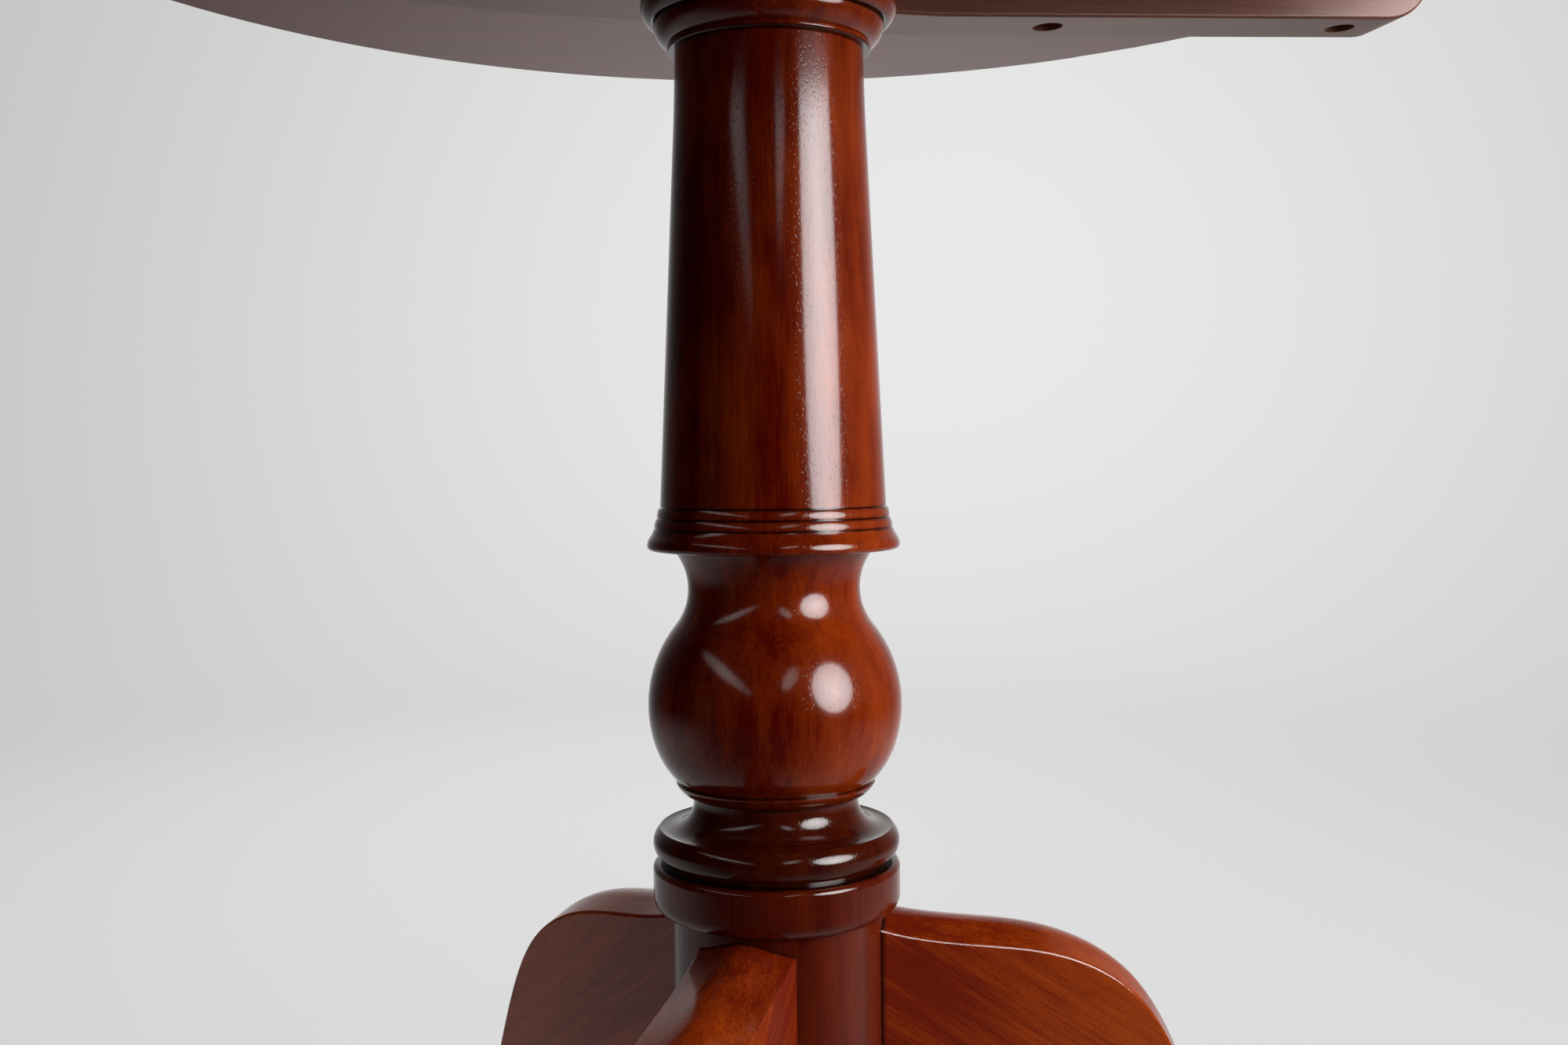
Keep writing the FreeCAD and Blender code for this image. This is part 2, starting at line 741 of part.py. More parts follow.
def make_washer():
    """Return the washer under the brace."""
    body = new_body("column_washer")
    ring = new_sketch(body, "washer_ring", "XY_Plane", BRACE_BOTTOM - S.washer_thickness)
    draw_circle(ring, as_size(0), as_size(0), S.washer_radius)
    draw_circle(ring, as_size(0), as_size(0), ROD_BORE)
    extrude(body, "Pad", ring, S.washer_thickness)
    return body


def make_nut():
    """Return the hexagon nut under the washer."""
    body = new_body("column_nut")
    hexagon = new_sketch(body, "nut_hexagon", "XY_Plane", BRACE_BOTTOM - S.washer_thickness - S.nut_height)
    corner = S.nut_radius
    flat = corner * as_size(3).root() / 2
    draw_outline(hexagon, [
        (corner, as_size(0)), (corner / 2, flat), (-corner / 2, flat),
        (-corner, as_size(0)), (-corner / 2, -flat), (corner / 2, -flat),
    ])
    draw_circle(hexagon, as_size(0), as_size(0), ROD_BORE)
    extrude(body, "Pad", hexagon, S.nut_height)
    return body


def make_block():
    """Shape the block: a round end about the pins, a hole for the tenon and a mortise for the catch."""
    body = new_body("tilt_block")
    side = new_sketch(body, "block_side", "XZ_Plane")
    nose = S.pivot_drop - S.rest_gap
    draw_outline(side, [
        (-S.block_reach, BLOCK_BOTTOM),
        (S.pivot_reach + nose, BLOCK_BOTTOM),
        (S.pivot_reach + nose, PIVOT_HEIGHT),
        (S.pivot_reach, BLOCK_TOP, nose, LEFT),
        (-S.block_reach, BLOCK_TOP),
    ])
    extrude(body, "Pad", side, S.block_width, symmetric=True)
    tenon = new_sketch(body, "block_tenon_hole", "XY_Plane", BLOCK_BOTTOM)
    draw_circle(tenon, as_size(0), as_size(0), S.upper_tenon_radius + S.glue_gap)
    extrude(body, "Pocket", tenon, BLOCK_TOP - BLOCK_BOTTOM)
    pins = new_sketch(body, "block_pin_hole", "XZ_Plane")
    draw_circle(pins, S.pivot_reach, PIVOT_HEIGHT, S.pin_radius + S.pin_play)
    extrude(body, "Pocket", pins, S.block_width, symmetric=True)
    mortise = new_sketch(body, "block_mortise", "XZ_Plane")
    draw_box(
        mortise, -S.block_reach, S.mortise_depth - S.block_reach,
        BOLT_BOTTOM - S.mortise_play, BOLT_TOP + S.mortise_play,
    )
    extrude(body, "Pocket", mortise, S.bolt_width + S.mortise_play * 2, symmetric=True)
    pilots = new_sketch(body, "block_pilots", "YZ_Plane", -S.block_reach)
    for y in (-S.strike_screw_spread, S.strike_screw_spread):
        draw_circle(pilots, y, (BOLT_TOP + BOLT_BOTTOM) / 2, S.catch_screw_radius + S.glue_gap)
    extrude(body, "Pocket", pilots, S.catch_screw_length - S.strike_thickness + S.glue_gap)
    return body


def make_wedge():
    """Return the wedge in the kerf of the column's upper tenon."""
    wedge = doc.addObject("Part::Box", "block_wedge")
    width = S.upper_tenon_radius * 2 - S.wedge_thickness
    bind(wedge, "Length", S.wedge_thickness)
    bind(wedge, "Width", width)
    bind(wedge, "Height", S.wedge_length)
    bind(wedge, "Placement.Base.x", -S.wedge_thickness / 2)
    bind(wedge, "Placement.Base.y", -width / 2)
    bind(wedge, "Placement.Base.z", BLOCK_TOP - S.wedge_length)
    return wedge


def make_top():
    """Turn the round top with its moulded edge and bore the pilot holes for the screws."""
    body = new_body("table_top")
    profile = new_sketch(body, "top_outline", "XZ_Plane")
    zero = as_size(0)
    step = TOP_SURFACE - S.edge_step
    draw_outline(profile, [
        (zero, TOP_BOTTOM),
        (TOP_RADIUS - S.edge_under_round, TOP_BOTTOM),
        (TOP_RADIUS, TOP_BOTTOM + S.edge_under_round, S.edge_under_round, LEFT),
        (TOP_RADIUS, step - S.edge_round),
        (TOP_RADIUS - S.edge_round, step, S.edge_round, LEFT),
        (TOP_RADIUS - S.edge_step_in, step),
        (TOP_RADIUS - S.edge_step_in, TOP_SURFACE),
        (zero, TOP_SURFACE),
    ])
    revolve(body, profile)
    pilots = new_sketch(body, "top_pilots", "XY_Plane", TOP_BOTTOM)
    for x, y in bearer_screw_places():
        draw_circle(pilots, x, y, S.screw_radius + S.glue_gap)
    extrude(body, "Pocket", pilots, S.screw_bite + S.glue_gap)
    catch_pilots = new_sketch(body, "top_catch_pilots", "XY_Plane", TOP_BOTTOM)
    for x, y in catch_screw_places():
        draw_circle(catch_pilots, x, y, S.catch_screw_radius + S.glue_gap)
    extrude(body, "Pocket", catch_pilots, S.catch_screw_length - S.plate_thickness + S.glue_gap)
    return body


def bearer_screw_places():
    """Return the centres of the eight bearer screws."""
    outer = S.bearer_reach - S.screw_outer_inset
    reaches = (-outer, -S.screw_inner_reach, S.screw_inner_reach, outer)
    return [(x, y) for y in (-BEARER_MIDDLE, BEARER_MIDDLE) for x in reaches]


def catch_screw_places():
    """Return the centres of the four screws of the catch plate."""
    near = -(PLATE_START + S.catch_screw_inset)
    far = -(PLATE_END - S.catch_screw_inset)
    side = S.plate_width / 2 - S.catch_screw_inset
    return [(x, y) for x in (near, far) for y in (-side, side)]


def make_bearer(label, side):
    """Shape a bearer: flat in the middle, tapered to bevelled ends, with screw holes and a pin hole."""
    body = new_body(label)
    outline = new_sketch(body, f"{label}_side", "XZ_Plane", BEARER_MIDDLE * -side)
    taper_end = S.bearer_reach - S.bearer_nose
    taper_low = BEARER_BOTTOM + S.bearer_taper
    run = taper_end - S.bearer_flat
    slope_length = (run * run + S.bearer_taper * S.bearer_taper).root()
    along = run / slope_length
    upward = S.bearer_taper / slope_length
    blend = S.bearer_blend * upward / (along + 1)
    nose_round = S.bearer_nose / (as_size(1) - upward)
    nose_low = taper_low + nose_round * along
    flat_end = S.bearer_flat - blend
    slope_start = S.bearer_flat + blend * along
    slope_low = BEARER_BOTTOM + blend * upward
    draw_outline(outline, [
        (-S.bearer_reach, TOP_BOTTOM),
        (-S.bearer_reach, nose_low),
        (-taper_end, taper_low, nose_round, LEFT),
        (-slope_start, slope_low),
        (-flat_end, BEARER_BOTTOM, S.bearer_blend, LEFT),
        (flat_end, BEARER_BOTTOM),
        (slope_start, slope_low, S.bearer_blend, LEFT),
        (taper_end, taper_low),
        (S.bearer_reach, nose_low, nose_round, LEFT),
        (S.bearer_reach, TOP_BOTTOM),
    ])
    blank = extrude(body, "Pad", outline, S.bearer_width, symmetric=True)
    nose_top = nose_low.value

    def under_edge(edge):
        return edge.BoundBox.YLength < CLOSE and edge.BoundBox.ZMin < nose_top + CLOSE

    ease_edges(body, blank, "Fillet", S.bearer_arris, under_edge)
    low = BEARER_BOTTOM - S.side_gap
    bores = new_sketch(body, f"{label}_counterbores", "XY_Plane", low)
    shanks = new_sketch(body, f"{label}_shanks", "XY_Plane", low)
    for x, y in bearer_screw_places():
        if y.value * side > 0:
            draw_circle(bores, x, y, S.counterbore_radius)
            draw_circle(shanks, x, y, S.screw_radius + S.glue_gap)
    extrude(body, "Pocket", bores, TOP_BOTTOM - S.counterbore_floor - low)
    extrude(body, "Pocket", shanks, TOP_BOTTOM - low)
    pin = new_sketch(body, f"{label}_pin_hole", "XZ_Plane", BEARER_MIDDLE * -side)
    draw_circle(pin, S.pivot_reach, PIVOT_HEIGHT, S.pin_radius + S.pin_play)
    extrude(body, "Pocket", pin, S.bearer_width, symmetric=True)
    return body


def make_bearer_screws():
    """Return the eight screws that hold the bearers to the top."""
    length = S.counterbore_floor + S.screw_bite
    screw = make_screw("bearer_screw", S.screw_radius, length, S.screw_head_radius, S.screw_head_height)
    seat = (TOP_BOTTOM - S.counterbore_floor).value
    places = [turned(0, x.value, y.value, seat) for x, y in bearer_screw_places()]
    return copies("bearer_screws", screw, places)


def make_pin(label, side):
    """Return a pivot pin that runs from a bearer's outer face into the block."""
    pin = doc.addObject("Part::Cylinder", label)
    length = S.bearer_width + S.side_gap + S.pin_grip
    start = S.block_width / 2 - S.pin_grip
    bind(pin, "Radius", S.pin_radius)
    bind(pin, "Height", length)
    pin.Placement.Rotation = FreeCAD.Rotation(FreeCAD.Vector(1, 0, 0), -90)
    bind(pin, "Placement.Base.x", S.pivot_reach)
    bind(pin, "Placement.Base.y", start if side > 0 else -(start + length))
    bind(pin, "Placement.Base.z", PIVOT_HEIGHT)
    return pin


def make_catch_plate():
    """Cut the brass plate of the slide catch, screwed under the top."""
    body = new_body("catch_plate")
    plate = new_sketch(body, "plate_outline", "XY_Plane", PLATE_BOTTOM)
    half = S.plate_width / 2
    draw_box(plate, -PLATE_END, -PLATE_START, -half, half)
    extrude(body, "Pad", plate, S.plate_thickness)
    holes = new_sketch(body, "plate_holes", "XY_Plane", PLATE_BOTTOM)
    for x, y in catch_screw_places():
        draw_circle(holes, x, y, S.catch_screw_radius + S.glue_gap)
    extrude(body, "Pocket", holes, S.plate_thickness)
    return body


def make_catch_straps():
    """Bend the two brass straps that guide the bolt along the plate."""
    body = new_body("catch_strap_blank")
    hat = new_sketch(body, "strap_outline", "YZ_Plane")
    inner = S.bolt_width / 2 + S.catch_play
    outer = inner + S.strap_thickness
    foot = outer + S.strap_flange
    seat_low = PLATE_BOTTOM - S.strap_thickness
    roof_inside = BOLT_BOTTOM - S.catch_play
    roof = roof_inside - S.strap_thickness
    draw_outline(hat, [
        (-foot, PLATE_BOTTOM), (-foot, seat_low), (-outer, seat_low), (-outer, roof),
        (outer, roof), (outer, seat_low), (foot, seat_low), (foot, PLATE_BOTTOM),
        (inner, PLATE_BOTTOM), (inner, roof_inside), (-inner, roof_inside), (-inner, PLATE_BOTTOM),
    ])
    extrude(body, "Pad", hat, S.strap_width)
    inset = S.strap_inset + S.strap_width
    near = -(PLATE_START + S.catch_screw_inset + inset)
    far = -(PLATE_END - S.catch_screw_inset - S.strap_inset)
    return copies("catch_straps", body, [turned(0, x.value) for x in (near, far)])


def make_catch_bolt():
    """Shape the sliding bolt with its rounded nose, drawn back from the strike."""
    body = new_body("catch_bolt")
    outline = new_sketch(body, "bolt_outline", "XY_Plane", BOLT_BOTTOM)
    half = S.bolt_width / 2
    nose = S.bolt_nose_round
    tail = -(BOLT_NOSE + S.bolt_length)
    draw_outline(outline, [
        (tail, -half),
        (-BOLT_NOSE - nose, -half),
        (-BOLT_NOSE, nose - half, nose, LEFT),
        (-BOLT_NOSE, half - nose),
        (-BOLT_NOSE - nose, half, nose, LEFT),
        (tail, half),
    ])
    extrude(body, "Pad", outline, S.bolt_thickness)
    return body


def make_catch_knob():
    """Turn the knob under the middle of the bolt."""
    body = new_body("catch_knob")
    profile = new_sketch(body, "knob_outline", "XZ_Plane")
    zero = as_size(0)
    crown_top = BOLT_BOTTOM - S.knob_neck_height
    crown_low = crown_top - S.knob_height
    edge = S.knob_round
    draw_outline(profile, [
        (zero, crown_low),
        (S.knob_radius - edge, crown_low),
        (S.knob_radius, crown_low + edge, edge, LEFT),
        (S.knob_radius, crown_top - edge),
        (S.knob_radius - edge, crown_top, edge, LEFT),
        (S.knob_neck_radius, crown_top),
        (S.knob_neck_radius, BOLT_BOTTOM),
        (zero, BOLT_BOTTOM),
    ])
    revolve(body, profile)
    bind(body, "Placement.Base.x", -(PLATE_START + PLATE_END) / 2)
    return body


def make_catch_screws():
    """Return the four screws of the catch plate."""
    screw = make_screw(
        "catch_screw", S.catch_screw_radius, S.catch_screw_length, S.catch_head_radius, S.catch_head_height
    )
    places = [turned(0, x.value, y.value, PLATE_BOTTOM.value) for x, y in catch_screw_places()]
    return copies("catch_screws", screw, places)


def make_strike():
    """Cut the strike plate on the block's end, with the slot that takes the bolt."""
    body = new_body("catch_strike")
    plate = new_sketch(body, "strike_outline", "YZ_Plane", -S.block_reach - S.strike_thickness)
    half = S.strike_width / 2
    high = BLOCK_TOP - S.rest_gap
    draw_box(plate, -half, half, high - S.strike_height, high)
    extrude(body, "Pad", plate, S.strike_thickness)
    holes = new_sketch(body, "strike_slot", "YZ_Plane", -S.block_reach - S.strike_thickness)
    slot = S.bolt_width / 2 + S.mortise_play
    draw_box(holes, -slot, slot, BOLT_BOTTOM - S.mortise_play, BOLT_TOP + S.mortise_play)
    for y in (-S.strike_screw_spread, S.strike_screw_spread):
        draw_circle(holes, y, (BOLT_TOP + BOLT_BOTTOM) / 2, S.catch_screw_radius + S.glue_gap)
    extrude(body, "Pocket", holes, S.strike_thickness)
    return body


def make_strike_screws():
    """Return the two screws of the strike plate."""
    screw = make_screw(
        "strike_screw", S.catch_screw_radius, S.catch_screw_length, S.catch_head_radius, S.catch_head_height
    )
    lie = FreeCAD.Rotation(FreeCAD.Vector(0, 1, 0), 90)
    x = (-S.block_reach - S.strike_thickness).value
    z = ((BOLT_TOP + BOLT_BOTTOM) / 2).value
    spread = S.strike_screw_spread.value
    places = [FreeCAD.Placement(FreeCAD.Vector(x, y, z), lie) for y in (-spread, spread)]
    return copies("catch_strike_screws", screw, places)


def make_parts():
    """Build every sub-part of the table."""
    parts = [make_hub(), make_column()]
    parts += [make_leg(label, angle) for label, angle in LEG_ANGLES.items()]
    parts += [make_glides(), make_brace(), make_brace_screws()]
    parts += [make_rod(), make_washer(), make_nut()]
    parts += [make_block(), make_wedge(), make_strike(), make_strike_screws()]
    parts += [make_top(), make_bearer("bearer_front", -1), make_bearer("bearer_back", 1)]
    parts += [make_bearer_screws()]
    parts += [make_pin("pivot_pin_front", -1), make_pin("pivot_pin_back", 1)]
    parts += [make_catch_plate(), make_catch_straps(), make_catch_screws()]
    parts += [make_catch_bolt(), make_catch_knob()]
    return parts


def check(parts):
    """Stop if an object of the document failed or a sub-part has no sound shape."""
    doc.recompute()
    for item in doc.Objects:
        if "Invalid" in item.State or "Error" in item.State:
            raise RuntimeError(f"{item.Label} failed: {item.State}")
    for part in parts:
        if part.Shape.isNull() or not part.Shape.isValid() or not part.Shape.Solids:
            raise RuntimeError(f"{part.Label} has no sound shape")


def write(parts):
    """Write each sub-part to its own file."""
    os.makedirs("parts", exist_ok=True)
    for part in parts:
        part.Shape.exportStep(f"parts/{part.Label}.step")
        print(f"{part.Label}: {len(part.Shape.Solids)} solid(s), {part.Shape.Volume:.0f} cubic mm")


parts = make_parts()
check(parts)
write(parts)
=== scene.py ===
"""Looks of the tilt-top wine table: lacquered mahogany, brass and plated steel in a pale studio.

Metres, +Z up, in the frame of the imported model: the origin is on the floor under the column's axis, the
bearers and the right leg lie along +X.
"""
import logging
import math
from dataclasses import dataclass
from enum import Enum
from typing import Any

import bpy
from mathutils import Matrix, Vector

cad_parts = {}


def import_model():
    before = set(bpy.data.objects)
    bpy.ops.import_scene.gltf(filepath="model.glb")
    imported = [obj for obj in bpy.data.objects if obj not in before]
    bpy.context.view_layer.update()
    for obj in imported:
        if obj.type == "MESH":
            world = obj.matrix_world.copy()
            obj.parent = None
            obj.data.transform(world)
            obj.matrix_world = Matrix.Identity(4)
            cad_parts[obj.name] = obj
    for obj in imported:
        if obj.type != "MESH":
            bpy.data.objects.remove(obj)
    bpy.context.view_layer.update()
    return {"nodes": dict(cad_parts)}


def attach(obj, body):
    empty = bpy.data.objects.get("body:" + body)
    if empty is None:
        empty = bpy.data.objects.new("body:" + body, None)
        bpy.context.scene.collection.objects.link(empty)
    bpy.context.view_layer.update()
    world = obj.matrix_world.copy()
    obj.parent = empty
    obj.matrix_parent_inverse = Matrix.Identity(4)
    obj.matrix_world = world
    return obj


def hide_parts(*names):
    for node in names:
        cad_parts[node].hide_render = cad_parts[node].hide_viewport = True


LOG = logging.getLogger("wine_table")
MM = 0.001
WHITE = (1.0, 1.0, 1.0, 1.0)
BLACK = (0.0, 0.0, 0.0, 1.0)
LEVEL = (1.0, 1.0, 0.0)
LACQUER_IOR = 1.5
NOISE_LOW, NOISE_MIDDLE, NOISE_HIGH = 0.2, 0.5, 0.8
COLUMN_MIDDLE = 0.34
CAMERA_AZIMUTH = -12.5

Material = bpy.types.Material
Node = bpy.types.Node
Socket = bpy.types.NodeSocket
Tree = bpy.types.NodeTree
Inputs = dict[Any, Any] | tuple[Any, ...]


class Grain(Enum):
    """Direction of a piece's grain, as the turn that takes +Z to it, in degrees about X, Y and Z."""

    UPRIGHT = (0.0, 0.0, 0.0)
    ALONG_BEARERS = (0.0, 90.0, 0.0)
    RIGHT_LEG = (0.0, 125.0, 0.0)
    LEFT_LEG = (0.0, 125.0, 120.0)
    FRONT_LEG = (0.0, 125.0, 240.0)


class Seen(Enum):
    """Where a lamp is seen: as light on the bare wood, or as a mirror image in the lacquer."""

    WOOD = "wood"
    MIRROR = "mirror"


class Kind(Enum):
    """Kinds of node that the finishes and the studio are made of."""

    BACKGROUND = "ShaderNodeBackground"
    BUMP = "ShaderNodeBump"
    CELLS = "ShaderNodeTexVoronoi"
    LIGHT_PATH = "ShaderNodeLightPath"
    MAPPING = "ShaderNodeMapping"
    MAP_RANGE = "ShaderNodeMapRange"
    MATH = "ShaderNodeMath"
    MIX = "ShaderNodeMix"
    NOISE = "ShaderNodeTexNoise"
    PLACE = "ShaderNodeTexCoord"
    SEPARATE = "ShaderNodeSeparateXYZ"
    SHADER = "ShaderNodeBsdfPrincipled"
    SURFACE = "ShaderNodeOutputMaterial"
    VECTOR_MATH = "ShaderNodeVectorMath"
    WORLD = "ShaderNodeOutputWorld"


EASED = {"interpolation_type": "SMOOTHSTEP"}
COLOURS = {"data_type": "RGBA", "clamp_factor": True}
MIX_SHARE, MIX_FIRST, MIX_SECOND, MIXED = 0, 6, 7, 2


def linear(hex_colour: str) -> tuple[float, float, float, float]:
    """Turn an sRGB hex colour into linear values.

    Args:
        hex_colour: six hex digits after a hash sign.

    Returns:
        Red, green, blue and full alpha.
    """
    channels = [int(hex_colour[start:start + 2], 16) / 255 for start in (1, 3, 5)]
    red, green, blue = ((c / 12.92) if c <= 0.04045 else ((c + 0.055) / 1.055) ** 2.4 for c in channels)
    return red, green, blue, 1.0


def add_node(tree: Tree, kind: Kind, inputs: Inputs = (), **settings: Any) -> Node:
    """Add a node with its settings and links.

    Args:
        tree: the tree that takes the node.
        kind: the node's kind.
        inputs: values or output sockets, in the order of the input sockets or by their names or numbers.
        settings: attributes of the node.

    Returns:
        The new node.
    """
    node = tree.nodes.new(kind.value)
    for name, value in settings.items():
        setattr(node, name, value)
    for key, value in inputs.items() if isinstance(inputs, dict) else enumerate(inputs):
        if isinstance(value, Socket):
            tree.links.new(value, node.inputs[key])
        else:
            node.inputs[key].default_value = value
    return node


def new_material(name: str) -> tuple[Material, Tree, Node]:
    """Start a node material.

    Args:
        name: the finish's name.

    Returns:
        The material, its tree and its shader node.
    """
    material = bpy.data.materials.new(name)
    material.use_nodes = True
    tree = material.node_tree
    tree.nodes.clear()
    shader = add_node(tree, Kind.SHADER)
    add_node(tree, Kind.SURFACE, {"Surface": shader.outputs["BSDF"]})
    return material, tree, shader


@dataclass(frozen=True)
class Mahogany:
    """Stained mahogany in a solid block: the pattern runs through the wood, so every cut shows it.

    The tone goes from the dark colour at 0 to the pale one at 1. Lengths are in millimetres. Pores and fibres
    are drawn about twice as coarse as in the wood, so that they show from the camera's distance.
    """

    name: str
    grain: Grain
    dark: str = "#761403"
    pale: str = "#973A0A"
    pore_colour: str = "#2E0803"
    glaze_and_shade_colour: str = "#200602"
    middle_tone: float = 0.5
    heart: tuple[float, float, float] = (150.0, 95.0, 0.0)
    ring_width: float = 12.0
    ring_strength: float = 0.12
    late_wood_start: float = 0.25
    late_wood_end: float = 0.9
    wave_width: float = 60.0
    wave_length: float = 140.0
    wave_reach: float = 30.0
    cloud_width: float = 26.0
    cloud_length: float = 60.0
    cloud_strength: float = 0.9
    ribbon_width: float = 6.0
    ribbon_length: float = 150.0
    ribbon_strength: float = 1.3
    fibre_width: float = 0.7
    fibre_length: float = 22.0
    fibre_strength: float = 1.2
    pore_spacing: float = 0.72
    pore_length: float = 1.9
    pore_core: float = 0.12
    pore_rim: float = 0.3
    pore_tint: float = 0.5
    pore_depth: float = 0.012
    ripple_width: float = 0.6
    ripple_length: float = 1.2
    ripple_depth: float = 0.009

    def wood_vector(self, tree: Tree, place: Socket) -> Socket:
        """Place the pattern in the wood, with its third axis along the grain, in millimetres.

        Args:
            tree: the material's tree.
            place: the place on the piece, in metres.

        Returns:
            The place in the wood.
        """
        rotation = [math.radians(angle) for angle in self.grain.value]
        turned = add_node(
            tree, Kind.MAPPING, {"Vector": place, "Rotation": rotation, "Scale": (MM, MM, MM)},
            vector_type="TEXTURE",
        )
        return turned.outputs["Vector"]

    def stretched(self, tree: Tree, wood: Socket, width: float, length: float) -> Socket:
        """Scale the place in the wood to marks of a width across the grain and a length along it."""
        scale = (1 / width, 1 / width, 1 / length)
        return add_node(tree, Kind.VECTOR_MATH, (wood, scale), operation="MULTIPLY").outputs["Vector"]

    def streaks(self, tree: Tree, wood: Socket, width: float, length: float) -> Socket:
        """Draw cloudy streaks along the grain.

        Args:
            tree: the material's tree.
            wood: the place in the wood.
            width: the streaks' width.
            length: the streaks' length.

        Returns:
            A value about 0 that mostly stays between -0.25 and 0.25.
        """
        scaled = self.stretched(tree, wood, width, length)
        noise = add_node(
            tree, Kind.NOISE, {"Vector": scaled, "Scale": 1.0, "Detail": 3.0, "Roughness": 0.55},
        ).outputs["Fac"]
        return add_node(tree, Kind.MATH, (noise, NOISE_MIDDLE), operation="SUBTRACT").outputs["Value"]

    def rings(self, tree: Tree, wood: Socket) -> Socket:
        """Draw growth rings about the heart of the log, wavy along the grain.

        Args:
            tree: the material's tree.
            wood: the place in the wood.

        Returns:
            A value from 0 in pale early wood to 1 in dark late wood.
        """
        scaled = self.stretched(tree, wood, self.wave_width, self.wave_length)
        wave = add_node(tree, Kind.NOISE, {"Vector": scaled, "Scale": 1.0, "Detail": 1.0, "Roughness": 0.4})
        swing = (wave.outputs["Color"], (self.wave_reach, self.wave_reach, 0.0), wood)
        shift = add_node(tree, Kind.VECTOR_MATH, swing, operation="MULTIPLY_ADD")
        off = add_node(tree, Kind.VECTOR_MATH, (shift.outputs["Vector"], self.heart), operation="SUBTRACT")
        across = add_node(tree, Kind.VECTOR_MATH, (off.outputs["Vector"], LEVEL), operation="MULTIPLY")
        distance = add_node(tree, Kind.VECTOR_MATH, (across.outputs["Vector"],), operation="LENGTH")
        years = add_node(tree, Kind.MATH, (distance.outputs["Value"], self.ring_width), operation="DIVIDE")
        part = add_node(tree, Kind.MATH, (years.outputs["Value"],), operation="FRACT").outputs["Value"]
        late_wood = (part, self.late_wood_start, self.late_wood_end, 0.0, 1.0)
        rise = add_node(tree, Kind.MAP_RANGE, late_wood, **EASED)
        fall = add_node(tree, Kind.MAP_RANGE, (part, self.late_wood_end, 1.0, 1.0, 0.0), **EASED)
        both = (rise.outputs["Result"], fall.outputs["Result"])
        return add_node(tree, Kind.MATH, both, operation="MULTIPLY").outputs["Value"]

    def pores(self, tree: Tree, wood: Socket) -> Socket:
        """Scatter short open pores along the grain, each about 0.3 mm wide and 0.8 mm long.

        Args:
            tree: the material's tree.
            wood: the place in the wood.

        Returns:
            A value of 1 in a pore and 0 between pores.
        """
        scaled = self.stretched(tree, wood, self.pore_spacing, self.pore_length)
        away = add_node(tree, Kind.CELLS, {"Vector": scaled, "Scale": 1.0}).outputs["Distance"]
        pore = add_node(tree, Kind.MAP_RANGE, (away, self.pore_core, self.pore_rim, 1.0, 0.0), **EASED)
        return pore.outputs["Result"]

    def build(self) -> Material:
        """Build the finish.

        Returns:
            The material.
        """
        material, tree, shader = new_material(self.name)
        place = add_node(tree, Kind.PLACE).outputs["Object"]
        wood = self.wood_vector(tree, place)
        pores = self.pores(tree, wood)
        tree.links.new(self.colour(tree, place, wood, pores), shader.inputs["Base Color"])
        self.film(tree, shader, place, self.bumped(tree, wood, pores))
        return material

    def shade(self, tree: Tree, place: Socket) -> Socket | float:
        """Return the tone before the figure of the wood: a middle tone on a plain piece."""
        return self.middle_tone

    def glaze_and_shade(self, tree: Tree, place: Socket) -> Socket | float:
        """Return the dark glaze and painted shade, from 0 to 1: none on a plain piece."""
        return 0.0

    def colour(self, tree: Tree, place: Socket, wood: Socket, pores: Socket) -> Socket:
        """Colour the wood: tone with clouds, ribbons, fibres and rings, then dark glaze, painted shade and
        pores.

        Args:
            tree: the material's tree.
            place: the place on the piece, in metres.
            wood: the place in the wood.
            pores: where the pores are.

        Returns:
            The colour.
        """
        tone = self.shade(tree, place)
        for mark, strength in (
            (self.streaks(tree, wood, self.cloud_width, self.cloud_length), self.cloud_strength),
            (self.streaks(tree, wood, self.ribbon_width, self.ribbon_length), self.ribbon_strength),
            (self.streaks(tree, wood, self.fibre_width, self.fibre_length), self.fibre_strength),
            (self.rings(tree, wood), -self.ring_strength),
        ):
            figured = add_node(tree, Kind.MATH, (mark, strength, tone), operation="MULTIPLY_ADD")
            tone = figured.outputs["Value"]
        tint = add_node(tree, Kind.MATH, (pores, self.pore_tint), operation="MULTIPLY").outputs["Value"]
        colour: Any = linear(self.dark)
        # The second layer is dark glaze and, on the turned pieces, painted shade
        for share, over in (
            (tone, self.pale), (self.glaze_and_shade(tree, place), self.glaze_and_shade_colour), (tint, self.pore_colour),
        ):
            layers = {MIX_SHARE: share, MIX_FIRST: colour, MIX_SECOND: linear(over)}
            colour = add_node(tree, Kind.MIX, layers, **COLOURS).outputs[MIXED]
        return colour

    def bumped(self, tree: Tree, wood: Socket, pores: Socket) -> Socket:
        """Sink the pores and ripple the film between them.

        Args:
            tree: the material's tree.
            wood: the place in the wood.
            pores: where the pores are.

        Returns:
            The bumped normal.
        """
        ripple = self.streaks(tree, wood, self.ripple_width, self.ripple_length)
        sink = -self.pore_depth / self.ripple_depth
        height = add_node(tree, Kind.MATH, (pores, sink, ripple), operation="MULTIPLY_ADD").outputs["Value"]
        sunk = add_node(tree, Kind.BUMP, {"Height": height, "Distance": self.ripple_depth * MM})
        return sunk.outputs["Normal"]

    def film(self, tree: Tree, shader: Node, place: Socket, normal: Socket) -> None:
        """Give the wood its film, with the bumped normal; each finish has its own."""
        raise NotImplementedError


